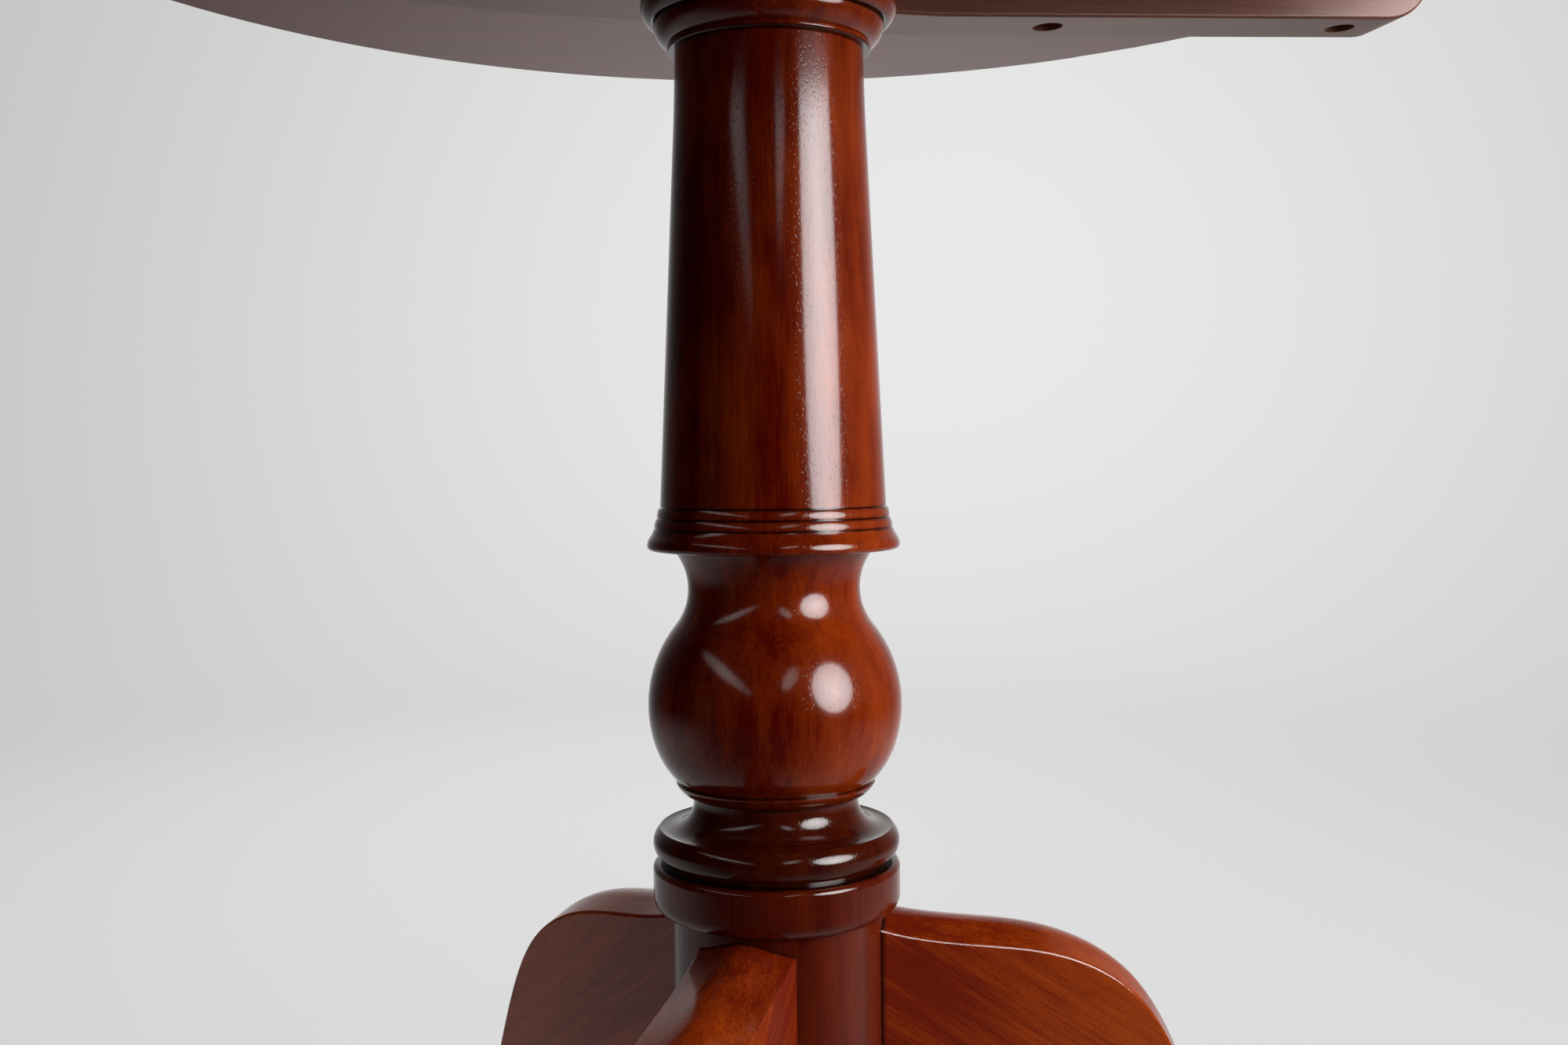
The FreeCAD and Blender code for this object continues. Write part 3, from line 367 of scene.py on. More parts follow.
@dataclass(frozen=True)
class GlossMahogany(Mahogany):
    """Mahogany sprayed with clear gloss lacquer: a deep wet shine, with pores that fleck the highlights."""

    film_roughness: float = 0.115
    wood_roughness: float = 0.6

    def film(self, tree: Tree, shader: Node, place: Socket, normal: Socket) -> None:
        """Lay a smooth clear coat over wood that has no shine of its own.

        Args:
            tree: the material's tree.
            shader: the shader that takes the film.
            place: the place on the piece, in metres; not used.
            normal: the bumped normal.
        """
        tree.links.new(normal, shader.inputs["Coat Normal"])
        shader.inputs["Roughness"].default_value = self.wood_roughness
        shader.inputs["Specular IOR Level"].default_value = 0.0
        shader.inputs["Coat Weight"].default_value = 1.0
        shader.inputs["Coat Roughness"].default_value = self.film_roughness
        shader.inputs["Coat IOR"].default_value = LACQUER_IOR


@dataclass(frozen=True)
class TurnedMahogany(GlossMahogany):
    """Turned mahogany: painted shade away from the lamps and low down, glaze and painted shade in grooves."""

    dark: str = "#620D02"
    pale: str = "#AC3F0A"
    lamp_side: tuple[float, float, float] = (0.976, -0.216, 0.0)
    shade_start: float = -24.0
    lit_end: float = 42.0
    shaded_side_tone: float = 0.15
    lit_side_tone: float = 0.72
    rings_at: tuple[float, ...] = (231.0, 241.6, 251.2, 256.1, 338.2, 341.5, 344.9, 490.0, 498.6, 508.8)
    ring_reach: float = 0.7
    line_patch: float = 5.0
    dark_below: float = 246.0
    dark_blend: float = 16.0
    dark_amount: float = 0.76
    cloud_width: float = 20.0
    cloud_length: float = 40.0
    cloud_strength: float = 1.5
    ribbon_strength: float = 1.0
    fibre_strength: float = 0.8

    def shade(self, tree: Tree, place: Socket) -> Socket | float:
        """Return the tone across the column, with painted shade on the side away from the lamps.

        Args:
            tree: the material's tree.
            place: the place on the piece, in metres.

        Returns:
            The tone, which rises from the shaded side to the side towards the lamps.
        """
        # Painted shade: the tone rises from the side away from the lamps to the side towards them
        side = add_node(tree, Kind.VECTOR_MATH, (place, self.lamp_side), operation="DOT_PRODUCT")
        start, end = self.shade_start * MM, self.lit_end * MM
        span = (side.outputs["Value"], start, end, self.shaded_side_tone, self.lit_side_tone)
        return add_node(tree, Kind.MAP_RANGE, span, **EASED).outputs["Result"]

    def glaze_and_shade(self, tree: Tree, place: Socket) -> Socket | float:
        """Return the glaze and painted shade in the turned grooves, and painted shade on the lowest
        mouldings.

        Args:
            tree: the material's tree.
            place: the place on the piece, in metres.

        Returns:
            A value from 0 for none to 1 for full darkening.
        """
        # Painted shade: the lowest mouldings get darker towards the bottom
        height = add_node(tree, Kind.SEPARATE, (place,)).outputs["Z"]
        pale_above = self.dark_below + self.dark_blend
        span = (height, self.dark_below * MM, pale_above * MM, self.dark_amount, 0.0)
        total = add_node(tree, Kind.MAP_RANGE, span, **EASED).outputs["Result"]
        scale = 1 / (self.line_patch * MM)
        uneven = add_node(tree, Kind.NOISE, {"Vector": place, "Scale": scale, "Detail": 3.0}).outputs["Fac"]
        widest = self.ring_reach * MM / NOISE_MIDDLE
        reach = add_node(tree, Kind.MATH, (uneven, widest), operation="MULTIPLY").outputs["Value"]
        # Dark glaze and painted shade along the turned grooves and creases
        for level in self.rings_at:
            above = add_node(tree, Kind.MATH, (height, level * MM), operation="SUBTRACT").outputs["Value"]
            away = add_node(tree, Kind.MATH, (above,), operation="ABSOLUTE").outputs["Value"]
            share = add_node(tree, Kind.MATH, (away, reach), operation="DIVIDE").outputs["Value"]
            line = add_node(tree, Kind.MATH, (1.0, share), operation="SUBTRACT").outputs["Value"]
            total = add_node(tree, Kind.MATH, (total, line), operation="MAXIMUM").outputs["Value"]
        return total


@dataclass(frozen=True)
class LegMahogany(GlossMahogany):
    """Sawn mahogany leg: slanting grain, painted shade towards the hub, a dark line where it is glued on."""

    dark: str = "#7E210A"
    pale: str = "#C24F10"
    ribbon_width: float = 3.5
    ribbon_length: float = 110.0
    ribbon_strength: float = 1.0
    hub_reach: float = 34.5
    hub_shade_tone: float = 0.12
    knee_reach: float = 135.0
    knee_light_tone: float = 0.92
    glue_line: float = 2.0

    def reach(self, tree: Tree, place: Socket) -> Socket:
        """Return the distance from the column's axis, in metres."""
        level = add_node(tree, Kind.VECTOR_MATH, (place, LEVEL), operation="MULTIPLY").outputs["Vector"]
        return add_node(tree, Kind.VECTOR_MATH, (level,), operation="LENGTH").outputs["Value"]

    def shade(self, tree: Tree, place: Socket) -> Socket | float:
        """Return the tone along the leg, with painted shade towards the hub.

        Args:
            tree: the material's tree.
            place: the place on the piece, in metres.

        Returns:
            The tone, which rises from the painted shade at the hub to the knee.
        """
        # Painted shade: the leg darker towards the hub
        reach = self.reach(tree, place)
        span = (reach, self.hub_reach * MM, self.knee_reach * MM, self.hub_shade_tone, self.knee_light_tone)
        return add_node(tree, Kind.MAP_RANGE, span, **EASED).outputs["Result"]

    def glaze_and_shade(self, tree: Tree, place: Socket) -> Socket | float:
        """Return the glaze along the glued joint.

        Args:
            tree: the material's tree.
            place: the place on the piece, in metres.

        Returns:
            A value from 0 for none to 1 for full glaze.
        """
        start = self.hub_reach * MM
        span = (self.reach(tree, place), start, start + self.glue_line * MM, 1.0, 0.0)
        return add_node(tree, Kind.MAP_RANGE, span, **EASED).outputs["Result"]


@dataclass(frozen=True)
class TopMahogany(Mahogany):
    """Mahogany board: a rubbed satin face, and a thin coat underneath that goes grey at a low angle."""

    underside: float = 553.5
    edge_blend: float = 2.0
    face_roughness: float = 0.42
    under_roughness: float = 0.3

    def film(self, tree: Tree, shader: Node, place: Socket, normal: Socket) -> None:
        """Lay a film that is smoother on the underside than on the face.

        Args:
            tree: the material's tree.
            shader: the shader that takes the film.
            place: the place on the piece, in metres.
            normal: the bumped normal.
        """
        height = add_node(tree, Kind.SEPARATE, (place,)).outputs["Z"]
        start = self.underside * MM
        span = (height, start, start + self.edge_blend * MM, self.under_roughness, self.face_roughness)
        rough = add_node(tree, Kind.MAP_RANGE, span, **EASED).outputs["Result"]
        tree.links.new(rough, shader.inputs["Roughness"])
        tree.links.new(normal, shader.inputs["Normal"])
        shader.inputs["IOR"].default_value = LACQUER_IOR


@dataclass(frozen=True)
class SatinMahogany(Mahogany):
    """Mahogany with one thin sprayed coat: an even satin that goes grey where it is seen at a low angle."""

    dark: str = "#74412F"
    pale: str = "#9A604A"
    film_roughness: float = 0.36

    def film(self, tree: Tree, shader: Node, place: Socket, normal: Socket) -> None:
        """Give the wood a satin film.

        Args:
            tree: the material's tree.
            shader: the shader that takes the film.
            place: the place on the piece, in metres; not used.
            normal: the bumped normal.
        """
        tree.links.new(normal, shader.inputs["Normal"])
        shader.inputs["Roughness"].default_value = self.film_roughness
        shader.inputs["IOR"].default_value = LACQUER_IOR


@dataclass(frozen=True)
class FittingFinish:
    """Finish of a metal or plastic fitting, with fine marks from its making. Lengths are in millimetres."""

    name: str
    bright: str
    dull: str
    metallic: float
    roughness: float
    mark: float
    relief: float
    unevenness: float = 0.08

    def build(self) -> Material:
        """Build the finish.

        Returns:
            The material.
        """
        material, tree, shader = new_material(self.name)
        place = add_node(tree, Kind.PLACE).outputs["Object"]
        scale = 1 / (self.mark * MM)
        marks = add_node(tree, Kind.NOISE, {"Vector": place, "Scale": scale, "Detail": 4.0}).outputs["Fac"]
        layers = {MIX_SHARE: marks, MIX_FIRST: linear(self.bright), MIX_SECOND: linear(self.dull)}
        tone = add_node(tree, Kind.MIX, layers, **COLOURS)
        smoothest, roughest = self.roughness - self.unevenness, self.roughness + self.unevenness
        rough = add_node(tree, Kind.MAP_RANGE, (marks, NOISE_LOW, NOISE_HIGH, smoothest, roughest), **EASED)
        relief = add_node(tree, Kind.BUMP, {"Height": marks, "Distance": self.relief * MM})
        tree.links.new(tone.outputs[MIXED], shader.inputs["Base Color"])
        tree.links.new(rough.outputs["Result"], shader.inputs["Roughness"])
        tree.links.new(relief.outputs["Normal"], shader.inputs["Normal"])
        shader.inputs["Metallic"].default_value = self.metallic
        return material


def dress(frame: dict[str, Any], material: Material, *names: str) -> None:
    """Give nodes of the frame a finish.

    Args:
        frame: the loaded frame.
        material: the finish.
        names: the nodes' names.
    """
    for name in names:
        mesh = frame["nodes"][name].data
        mesh.materials.clear()
        mesh.materials.append(material)
        LOG.info("%s: %s", name, material.name)


def raise_rim(widen: float, lift: float) -> None:
    """Extrude the selected rim upwards and widen it.

    Args:
        widen: the factor on the rim's radius.
        lift: the rise in metres.
    """
    bpy.ops.mesh.extrude_region_move(TRANSFORM_OT_translate={"value": (0.0, 0.0, lift)})
    bpy.ops.transform.resize(value=(widen, widen, 1.0))


@dataclass(frozen=True)
class Corner:
    """A corner of a turned outline, with the radius of the arc that leads to it, in millimetres.

    The arc is 0 for a straight line and less than 0 for a hollow.
    """

    radius: float
    height: float
    arc: float = 0.0


Moulding = tuple[Corner, ...]


@dataclass
class TurnedColumn:
    """The column as turned, with the curved lip of its flared ring, its bore and its wedged upper tenon.

    The mouldings follow each other from the rod's bore to the upper tenon. Lengths are in millimetres, angles
    in degrees.
    """

    bore: Moulding = (Corner(5.1, 252.0), Corner(5.1, 190.0))
    lower_tenon: Moulding = (Corner(15.0, 190.0), Corner(15.0, 230.0))
    seat: Moulding = (Corner(35.0, 230.0), Corner(35.0, 231.6))
    torus: Moulding = (Corner(37.9, 231.6), Corner(37.9, 241.2, 6.2))
    low_cove: Moulding = (Corner(27.1, 251.4, -8.6),)
    bead: Moulding = (Corner(32.4, 255.6, 7.0),)
    ball: Moulding = (Corner(31.77, 256.2), Corner(39.18, 268.0, 29.0), Corner(32.16, 306.73, 41.25))
    neck: Moulding = (Corner(32.43, 331.0, -19.12),)
    lip: Moulding = (Corner(39.4, 331.2), Corner(40.95, 332.5, 1.5), Corner(40.2, 335.2, 4.6))
    flare: Moulding = (Corner(38.75, 338.0, -9.0),)
    low_groove: Moulding = (Corner(38.35, 338.0), Corner(38.35, 338.4))
    low_band: Moulding = (Corner(38.55, 338.4), Corner(37.85, 341.3, 6.0))
    middle_groove: Moulding = (Corner(37.45, 341.3), Corner(37.45, 341.7))
    high_band: Moulding = (Corner(37.65, 341.7), Corner(37.05, 344.7, 6.0))
    high_groove: Moulding = (Corner(36.2, 344.7), Corner(36.2, 345.1))
    shaft: Moulding = (Corner(36.6, 345.1), Corner(31.0, 463.8), Corner(30.25, 489.8, -750.0))
    astragal: Moulding = (Corner(32.2, 489.8), Corner(32.2, 491.8, 1.2))
    collar: Moulding = (Corner(36.85, 497.8, 7.0),)
    collar_groove: Moulding = (Corner(36.0, 497.8), Corner(36.0, 498.7))
    collar_torus: Moulding = (Corner(37.85, 498.7), Corner(37.85, 508.7, 5.6))
    block_seat: Moulding = (Corner(36.0, 508.7), Corner(36.0, 517.3))
    upper_tenon: Moulding = (Corner(17.0, 517.3), Corner(17.0, 551.6))
    kerf_width: float = 3.2
    kerf_length: float = 34.4
    kerf_depth: float = 24.0
    sides: int = 160
    arc_step: float = 4.0
    fewest_steps: int = 6
    smooth_below: float = 28.0

    def outline(self) -> list[Corner]:
        """Return the corners of the whole outline.

        Returns:
            The corners, from the end of the bore to the top of the upper tenon.
        """
        mouldings = (
            self.bore, self.lower_tenon, self.seat, self.torus, self.low_cove, self.bead, self.ball,
            self.neck, self.lip, self.flare, self.low_groove, self.low_band, self.middle_groove,
            self.high_band, self.high_groove, self.shaft, self.astragal, self.collar, self.collar_groove,
            self.collar_torus, self.block_seat, self.upper_tenon,
        )
        return [corner for moulding in mouldings for corner in moulding]

    def rings(self) -> list[tuple[float, float]]:
        """Return the radius and height of every ring, with the arcs divided.

        Returns:
            The rings, in millimetres.
        """
        first, *others = self.outline()
        rings = [(first.radius, first.height)]
        for corner in others:
            end = (corner.radius, corner.height)
            if corner.arc:
                rings += self.along_arc(Vector(rings[-1]), Vector(end), corner.arc)
            rings.append(end)
        return rings

    def along_arc(self, start: Vector, end: Vector, arc: float) -> list[tuple[float, float]]:
        """Divide an arc between two corners.

        Args:
            start: the first corner.
            end: the last corner.
            arc: the arc's radius, less than 0 for a hollow.

        Returns:
            The rings between the corners.
        """
        chord = end - start
        inwards = Vector((-chord.y, chord.x)).normalized()
        reach = math.sqrt(max(arc * arc - chord.length_squared / 4, 0.0))
        centre = (start + end) / 2 + inwards * math.copysign(reach, arc)
        turn = math.copysign(2 * math.asin(min(chord.length / 2 / abs(arc), 1.0)), arc)
        steps = max(self.fewest_steps, math.ceil(abs(turn) / math.radians(self.arc_step)))
        turns = (Matrix.Rotation(turn * step / steps, 2) for step in range(1, steps))
        return [tuple(centre + part @ (start - centre)) for part in turns]

    def build(self, material: Material) -> None:
        """Turn the column, saw the wedge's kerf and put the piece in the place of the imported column.

        Args:
            material: the column's finish.
        """
        rings = self.rings()
        radius, height = rings[0]
        bpy.ops.object.select_all(action="DESELECT")
        bpy.ops.mesh.primitive_circle_add(vertices=self.sides, radius=radius * MM, fill_type="NGON")
        column = bpy.context.object
        column.name = "turned_column"
        bpy.ops.object.mode_set(mode="EDIT")
        bpy.ops.mesh.select_mode(type="EDGE")
        bpy.ops.mesh.select_all(action="SELECT")
        bpy.ops.transform.translate(value=(0.0, 0.0, height * MM))
        bpy.ops.mesh.region_to_loop()
        for next_radius, next_height in rings[1:]:
            raise_rim(next_radius / radius, (next_height - height) * MM)
            radius, height = next_radius, next_height
        bpy.ops.mesh.edge_face_add()
        bpy.ops.mesh.select_all(action="SELECT")
        bpy.ops.mesh.normals_make_consistent(inside=False)
        bpy.ops.object.mode_set(mode="OBJECT")
        self.saw_kerf(column, height)
        bpy.ops.object.shade_smooth_by_angle(angle=math.radians(self.smooth_below))
        column.data.materials.append(material)
        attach(column, "base")
        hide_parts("column")
        LOG.info("%s: %s", column.name, material.name)

    def saw_kerf(self, column: bpy.types.Object, top: float) -> None:
        """Saw the slot for the wedge into the upper tenon.

        Args:
            column: the turned column.
            top: the tenon's upper end, in millimetres.
        """
        width, length, depth = self.kerf_width * MM, self.kerf_length * MM, self.kerf_depth * MM
        bpy.ops.object.select_all(action="DESELECT")
        bpy.ops.mesh.primitive_cube_add(size=1.0)
        saw = bpy.context.object
        bpy.ops.object.mode_set(mode="EDIT")
        bpy.ops.mesh.select_all(action="SELECT")
        bpy.ops.transform.resize(value=(width, length, 2 * depth))
        bpy.ops.transform.translate(value=(0.0, 0.0, top * MM))
        bpy.ops.object.mode_set(mode="OBJECT")
        bpy.ops.object.select_all(action="DESELECT")
        column.select_set(True)
        bpy.context.view_layer.objects.active = column
        cut = column.modifiers.new("kerf", "BOOLEAN")
        cut.object = saw
        bpy.ops.object.modifier_apply(modifier=cut.name)
        bpy.data.objects.remove(saw)


def direction(azimuth: float, elevation: float) -> Vector:
    """Return the direction from the table towards a place in the studio.

    Args:
        azimuth: degrees to the right of the camera, seen from above.
        elevation: degrees above the floor.

    Returns:
        A unit vector.
    """
    turn = math.radians(CAMERA_AZIMUTH + azimuth)
    rise = math.radians(elevation)
    return Vector((math.sin(turn) * math.cos(rise), -math.cos(turn) * math.cos(rise), math.sin(rise)))


@dataclass
class Camera:
    """The camera of the photograph. Angles are in degrees, the sensor's width in millimetres."""

    distance: float = 0.488
    height: float = 0.3604
    yaw: float = 0.404
    pitch: float = -2.44
    roll: float = -0.55
    focal_pixels: float = 1920.0
    image_width: float = 2000.0
    sensor_width: float = 36.0
    clip_start: float = 0.02

    def build(self) -> None:
        """Place the camera and look through it."""
        data = bpy.data.cameras.new("camera")
        data.sensor_width = self.sensor_width
        data.lens = self.sensor_width * self.focal_pixels / self.image_width
        data.clip_start = self.clip_start
        camera = bpy.data.objects.new("camera", data)
        bpy.context.scene.collection.objects.link(camera)
        place = direction(0.0, 0.0) * self.distance + Vector((0.0, 0.0, self.height))
        turn = (
            Matrix.Rotation(math.radians(CAMERA_AZIMUTH - self.yaw), 4, "Z")
            @ Matrix.Rotation(math.radians(90.0 + self.pitch), 4, "X")
            @ Matrix.Rotation(math.radians(self.roll), 4, "Z")
        )
        camera.matrix_world = Matrix.Translation(place) @ turn
        bpy.context.scene.camera = camera


@dataclass
class Lamp:
    """A flat lamp that faces the column, placed by its direction from there.

    Azimuth is in degrees to the right of the camera. Elevation, turn and the hood's opening are in degrees,
    distance, size and the height that it aims at in metres. A radiance of 1 is white.
    """

    name: str
    azimuth: float
    elevation: float
    distance: float
    size: tuple[float, float]
    radiance: float
    seen: Seen
    turn: float = 0.0
    aim: float = COLUMN_MIDDLE
    hood: float = 100.0

    def hang(self) -> None:
        """Hang the lamp, with a hood that keeps its light off the sweep and leaves its radiance as it is."""
        width, height = self.size
        data = bpy.data.lights.new(self.name, "AREA")
        data.shape = "ELLIPSE"
        data.size, data.size_y = width, height
        half = math.radians(self.hood / 2)
        data.spread = half * 2
        data.energy = self.radiance * width * height * math.pi / 4 * math.pi
        data.energy *= 1.0 - half / math.tan(half)
        item = bpy.data.objects.new(self.name, data)
        bpy.context.scene.collection.objects.link(item)
        towards = direction(self.azimuth, self.elevation)
        place = Matrix.Translation(towards * self.distance + Vector((0.0, 0.0, self.aim)))
        facing = towards.to_track_quat("Z", "Y").to_matrix().to_4x4()
        item.matrix_world = place @ facing @ Matrix.Rotation(math.radians(self.turn), 4, "Z")
        item.visible_camera = False
        item.visible_glossy = self.seen is Seen.MIRROR
        item.visible_diffuse = self.seen is Seen.WOOD


@dataclass
class Sweep:
    """Pale paper floor that curves up into a wall all round, lit to the right behind the column.

    Lengths are in metres and azimuths in degrees. A brightness of 1 is white. For the column's middle, the
    floor's start and full level are sines of the angle below it, and front and back are cosines of the angle
    from the middle of the wall.
    """

    radius: float = 2.0
    rounding: float = 1.2
    steps: int = 12
    sides: int = 128
    roughness: float = 0.9
    tone_shown: str = "#929292"
    tone_on_wood: str = "#6E6E6E"
    glow_azimuth: float = 172.0
    glow_height: float = 0.7
    glow_reach: float = 3.6
    glow_middle: float = 0.805
    glow_edge: float = 0.42
    wall_azimuth: float = 175.0
    wall_middle: float = 0.66
    wall_middle_falloff: float = 8.0
    wall_side: float = 0.18
    wall_side_falloff: float = 2.0
    floor_start: float = -0.12
    floor_full: float = -0.45
    front: float = -0.75
    front_share: float = 0.08
    back: float = 0.1
    floor_in_mirror: float = 0.32
    floor_on_wood: float = 0.06

    def build(self) -> None:
        """Lay the floor and raise its rim into the wall."""
        bpy.ops.object.select_all(action="DESELECT")
        bpy.ops.mesh.primitive_circle_add(vertices=self.sides, radius=self.radius, fill_type="NGON")
        sweep = bpy.context.object
        sweep.name = "studio_sweep"
        bpy.ops.object.mode_set(mode="EDIT")
        bpy.ops.mesh.select_mode(type="EDGE")
        bpy.ops.mesh.select_all(action="SELECT")
        bpy.ops.mesh.region_to_loop()
        radius, height = self.radius, 0.0
        for step in range(1, self.steps + 1):
            angle = math.pi / 2 * step / self.steps
            next_radius = self.radius + self.rounding * math.sin(angle)
            next_height = self.rounding * (1.0 - math.cos(angle))
            raise_rim(next_radius / radius, next_height - height)
            radius, height = next_radius, next_height
        raise_rim(1.0, self.rounding)
        bpy.ops.mesh.select_all(action="SELECT")
        bpy.ops.mesh.normals_make_consistent(inside=True)
        bpy.ops.mesh.faces_shade_smooth()
        bpy.ops.object.mode_set(mode="OBJECT")
        sweep.data.materials.append(self.paper())

    def paper(self) -> Material:
        """Build the paper: pale to the eye, and in the lacquer pale behind the table and dark in front.

        Returns:
            The material.
        """
        material, tree, shader = new_material("backdrop_paper")
        place = add_node(tree, Kind.PLACE).outputs["Object"]
        path = add_node(tree, Kind.LIGHT_PATH).outputs
        bent = (path["Is Glossy Ray"], path["Is Transmission Ray"])
        mirrored = add_node(tree, Kind.MATH, bent, operation="MAXIMUM").outputs["Value"]
        wall, floor = self.seen_from_column(tree, place)
        mirror = add_node(tree, Kind.MATH, (floor, self.floor_in_mirror, wall), operation="MULTIPLY_ADD")
        bounce = add_node(tree, Kind.MATH, (floor, self.floor_on_wood), operation="MULTIPLY")
        glow: Any = 0.0
        for rays, brightness in (
            (path["Is Camera Ray"], self.shown_brightness(tree, place)),
            (mirrored, mirror.outputs["Value"]),
            (path["Is Diffuse Ray"], bounce.outputs["Value"]),
        ):
            lit = add_node(tree, Kind.MATH, (rays, brightness, glow), operation="MULTIPLY_ADD")
            glow = lit.outputs["Value"]
        tone: Any = linear(self.tone_on_wood)
        for share, colour in ((path["Is Camera Ray"], linear(self.tone_shown)), (mirrored, BLACK)):
            layers = {MIX_SHARE: share, MIX_FIRST: tone, MIX_SECOND: colour}
            tone = add_node(tree, Kind.MIX, layers, **COLOURS).outputs[MIXED]
        tree.links.new(tone, shader.inputs["Base Color"])
        tree.links.new(glow, shader.inputs["Emission Strength"])
        shader.inputs["Emission Color"].default_value = WHITE
        shader.inputs["Roughness"].default_value = self.roughness
        shader.inputs["Specular IOR Level"].default_value = 0.0
        return material

    def shown_brightness(self, tree: Tree, place: Socket) -> Socket:
        """Return the paper's brightness to the eye, with a soft glow to the right of the column.

        Args:
            tree: the paper's tree.
            place: the place on the paper.

        Returns:
            The brightness, where 1 is white.
        """
        wall = direction(self.glow_azimuth, 0.0) * (self.radius + self.rounding)
        middle = tuple(wall + Vector((0.0, 0.0, self.glow_height)))
        away = add_node(tree, Kind.VECTOR_MATH, (place, middle), operation="DISTANCE").outputs["Value"]
        span = (away, 0.0, self.glow_reach, self.glow_middle, self.glow_edge)
        return add_node(tree, Kind.MAP_RANGE, span, **EASED).outputs["Result"]

    def seen_from_column(self, tree: Tree, place: Socket) -> tuple[Socket, Socket]:
        """Return the light of the far wall and of the floor about the table, as the column's middle sees it.

        Args:
            tree: the paper's tree.
            place: the place on the paper.

        Returns:
            The wall's brightness, and the floor's from 0 to 1, which is low in front of the table.
        """
        column = (0.0, 0.0, COLUMN_MIDDLE)
        offset = add_node(tree, Kind.VECTOR_MATH, (place, column), operation="SUBTRACT").outputs["Vector"]
        ray = add_node(tree, Kind.VECTOR_MATH, (offset,), operation="NORMALIZE").outputs["Vector"]
        back = tuple(direction(self.wall_azimuth, 0.0))
        far = add_node(tree, Kind.VECTOR_MATH, (ray, back), operation="DOT_PRODUCT").outputs["Value"]
        behind = add_node(tree, Kind.MATH, (far, 0.0), operation="MAXIMUM").outputs["Value"]
        wall: Any = 0.0
        for falloff, share in (
            (self.wall_middle_falloff, self.wall_middle), (self.wall_side_falloff, self.wall_side),
        ):
            spot = add_node(tree, Kind.MATH, (behind, falloff), operation="POWER").outputs["Value"]
            wall = add_node(tree, Kind.MATH, (spot, share, wall), operation="MULTIPLY_ADD").outputs["Value"]
        below = add_node(tree, Kind.SEPARATE, (ray,)).outputs["Z"]
        near = add_node(tree, Kind.MAP_RANGE, (below, self.floor_start, self.floor_full, 0.0, 1.0), **EASED)
        lit = add_node(tree, Kind.MAP_RANGE, (far, self.front, self.back, self.front_share, 1.0), **EASED)
        both = (near.outputs["Result"], lit.outputs["Result"])
        return wall, add_node(tree, Kind.MATH, both, operation="MULTIPLY").outputs["Value"]


@dataclass
class Studio:
    """Pale studio with one large round lamp at the right, and the camera of the photograph.

    A lamp is given by its name, azimuth, elevation, distance, size, radiance and where it is seen.
    """

    room_light: float = 0.02
    room_shown: float = 0.7
    lamps: tuple[Lamp, ...] = (
        # The large round lamp, as the highlight in the lacquer and as the light on the wood
        Lamp("softbox", 54.5, 14.5, 1.5, (1.06, 1.06), 15.0, Seen.MIRROR, hood=80.0),
        Lamp("softbox_on_wood", 58.0, 14.5, 1.5, (1.15, 1.15), 6.0, Seen.WOOD),
        # Fills for the right side, the face of the top, the back and the flank of the left leg
        Lamp("side_lamp", 97.0, 12.0, 1.5, (1.15, 1.15), 3.4, Seen.WOOD),
        Lamp("ceiling_lamp", 180.0, 72.0, 2.6, (1.6, 1.6), 7.5, Seen.WOOD),
        Lamp("back_fill", 195.0, 24.0, 1.9, (1.3, 1.3), 4.0, Seen.WOOD),
        Lamp("kicker", -62.0, 6.0, 1.2, (0.3, 0.2), 12.0, Seen.WOOD, aim=0.14, hood=28.0),
        # The two slanting streaks to the left of the highlight
        Lamp("window_strip", -52.0, 28.0, 1.5, (2.0, 0.2), 1.8, Seen.MIRROR, turn=-21.0, hood=80.0),
        Lamp("window_edge", 15.0, 27.0, 1.5, (0.26, 0.62), 2.2, Seen.MIRROR, turn=-35.0, hood=60.0),
    )

    def add_world(self) -> None:
        """Light the room a little from all round, and show pale above the sweep."""
        world = bpy.data.worlds.new("studio")
        bpy.context.scene.world = world
        world.use_nodes = True
        tree = world.node_tree
        tree.nodes.clear()
        path = add_node(tree, Kind.LIGHT_PATH).outputs
        strength: Any = 0.0
        for rays, share in (
            (path["Is Diffuse Ray"], self.room_light), (path["Is Camera Ray"], self.room_shown),
        ):
            lit = add_node(tree, Kind.MATH, (rays, share, strength), operation="MULTIPLY_ADD")
            strength = lit.outputs["Value"]
        sky = add_node(tree, Kind.BACKGROUND, {"Color": WHITE, "Strength": strength})
        add_node(tree, Kind.WORLD, {"Surface": sky.outputs["Background"]})

    def build(self) -> None:
        """Set up the camera, the lamps, the sweep and the room's light."""
        bpy.context.scene.view_settings.view_transform = "Standard"
        Camera().build()
        for lamp in self.lamps:
            lamp.hang()
        Sweep().build()
        self.add_world()


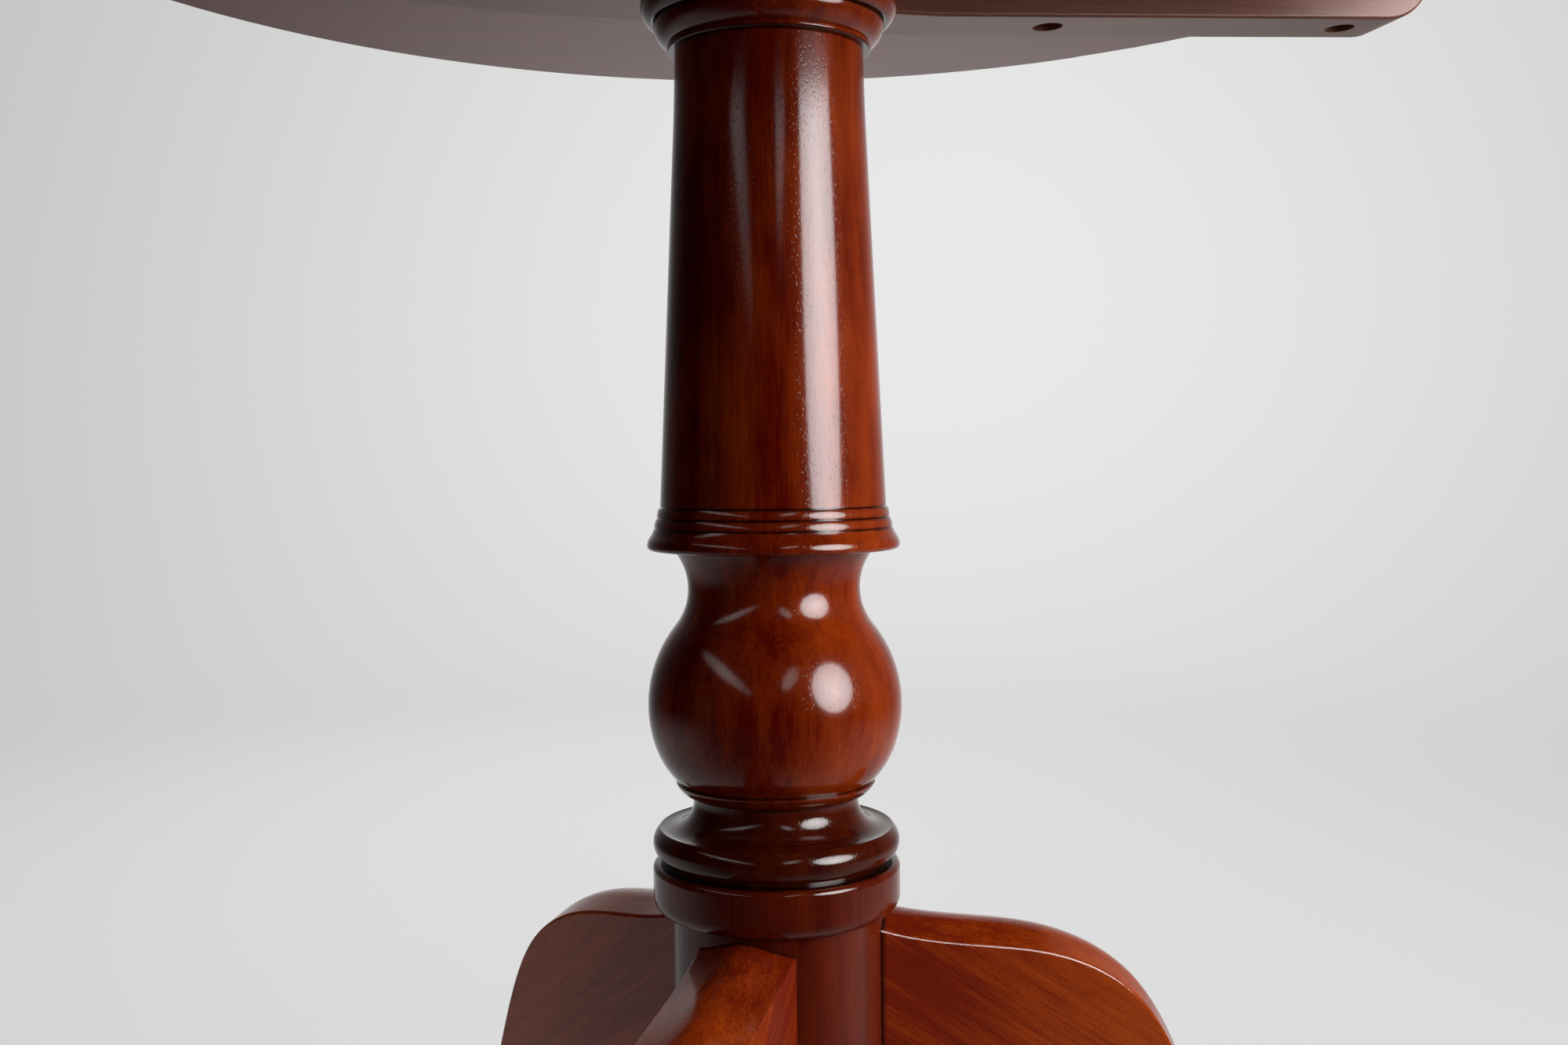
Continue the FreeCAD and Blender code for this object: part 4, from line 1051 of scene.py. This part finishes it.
def main() -> None:
    """Load the frame, turn the column, dress every node and set up the studio."""
    logging.basicConfig(level=logging.INFO, format="%(message)s")
    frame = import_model()
    TurnedColumn().build(TurnedMahogany("lacquered_mahogany_turned", Grain.UPRIGHT).build())
    # Painted shade: the hub between the legs is a darker copy of the turned finish, darkened all over
    hub = TurnedMahogany(
        "lacquered_mahogany_hub", Grain.UPRIGHT, dark="#560E04", pale="#8A2C0A", rings_at=(213.5, 230.0),
        dark_amount=0.3,
    )
    dress(frame, hub.build(), "base_hub")
    for name, grain in (
        ("leg_right", Grain.RIGHT_LEG), ("leg_left", Grain.LEFT_LEG), ("leg_front", Grain.FRONT_LEG),
    ):
        dress(frame, LegMahogany(f"lacquered_mahogany_{name}", grain).build(), name)
    dress(frame, TopMahogany("lacquered_mahogany_top", Grain.ALONG_BEARERS).build(), "table_top")
    satin = SatinMahogany("satin_mahogany", Grain.ALONG_BEARERS).build()
    dress(frame, satin, "bearer_front", "bearer_back", "tilt_block", "block_wedge")
    # Rolled brass has a soft golden shine, clouded a little by handling
    brass = FittingFinish(
        "rolled_brass", "#C9A45C", "#9A7A3C", metallic=1.0, roughness=0.28, mark=1.5, relief=0.01,
    )
    dress(
        frame, brass.build(),
        "catch_plate", "catch_straps", "catch_screws", "catch_bolt", "catch_knob", "catch_strike",
        "catch_strike_screws",
    )
    # Zinc plating is pale grey, with a fine uneven bloom
    steel = FittingFinish(
        "zinc_plated_steel", "#B4B7BA", "#94979B", metallic=1.0, roughness=0.32, mark=0.8, relief=0.01,
    )
    dress(
        frame, steel.build(),
        "leg_brace_screws", "column_rod", "column_washer", "column_nut", "bearer_screws", "pivot_pin_front",
        "pivot_pin_back",
    )
    # Japanned iron is black and half glossy, with a slightly pebbled coat
    iron = FittingFinish(
        "japanned_iron", "#1C1B1A", "#262423", metallic=0.0, roughness=0.35, mark=0.6, relief=0.03,
    )
    dress(frame, iron.build(), "leg_brace")
    # Moulded nylon is dark brown and waxy, with the fine texture of its mould
    nylon = FittingFinish(
        "moulded_nylon", "#2E241E", "#231B17", metallic=0.0, roughness=0.5, mark=0.7, relief=0.02,
    )
    dress(frame, nylon.build(), "foot_glides")
    Studio().build()


if __name__ == "__main__":
    main()
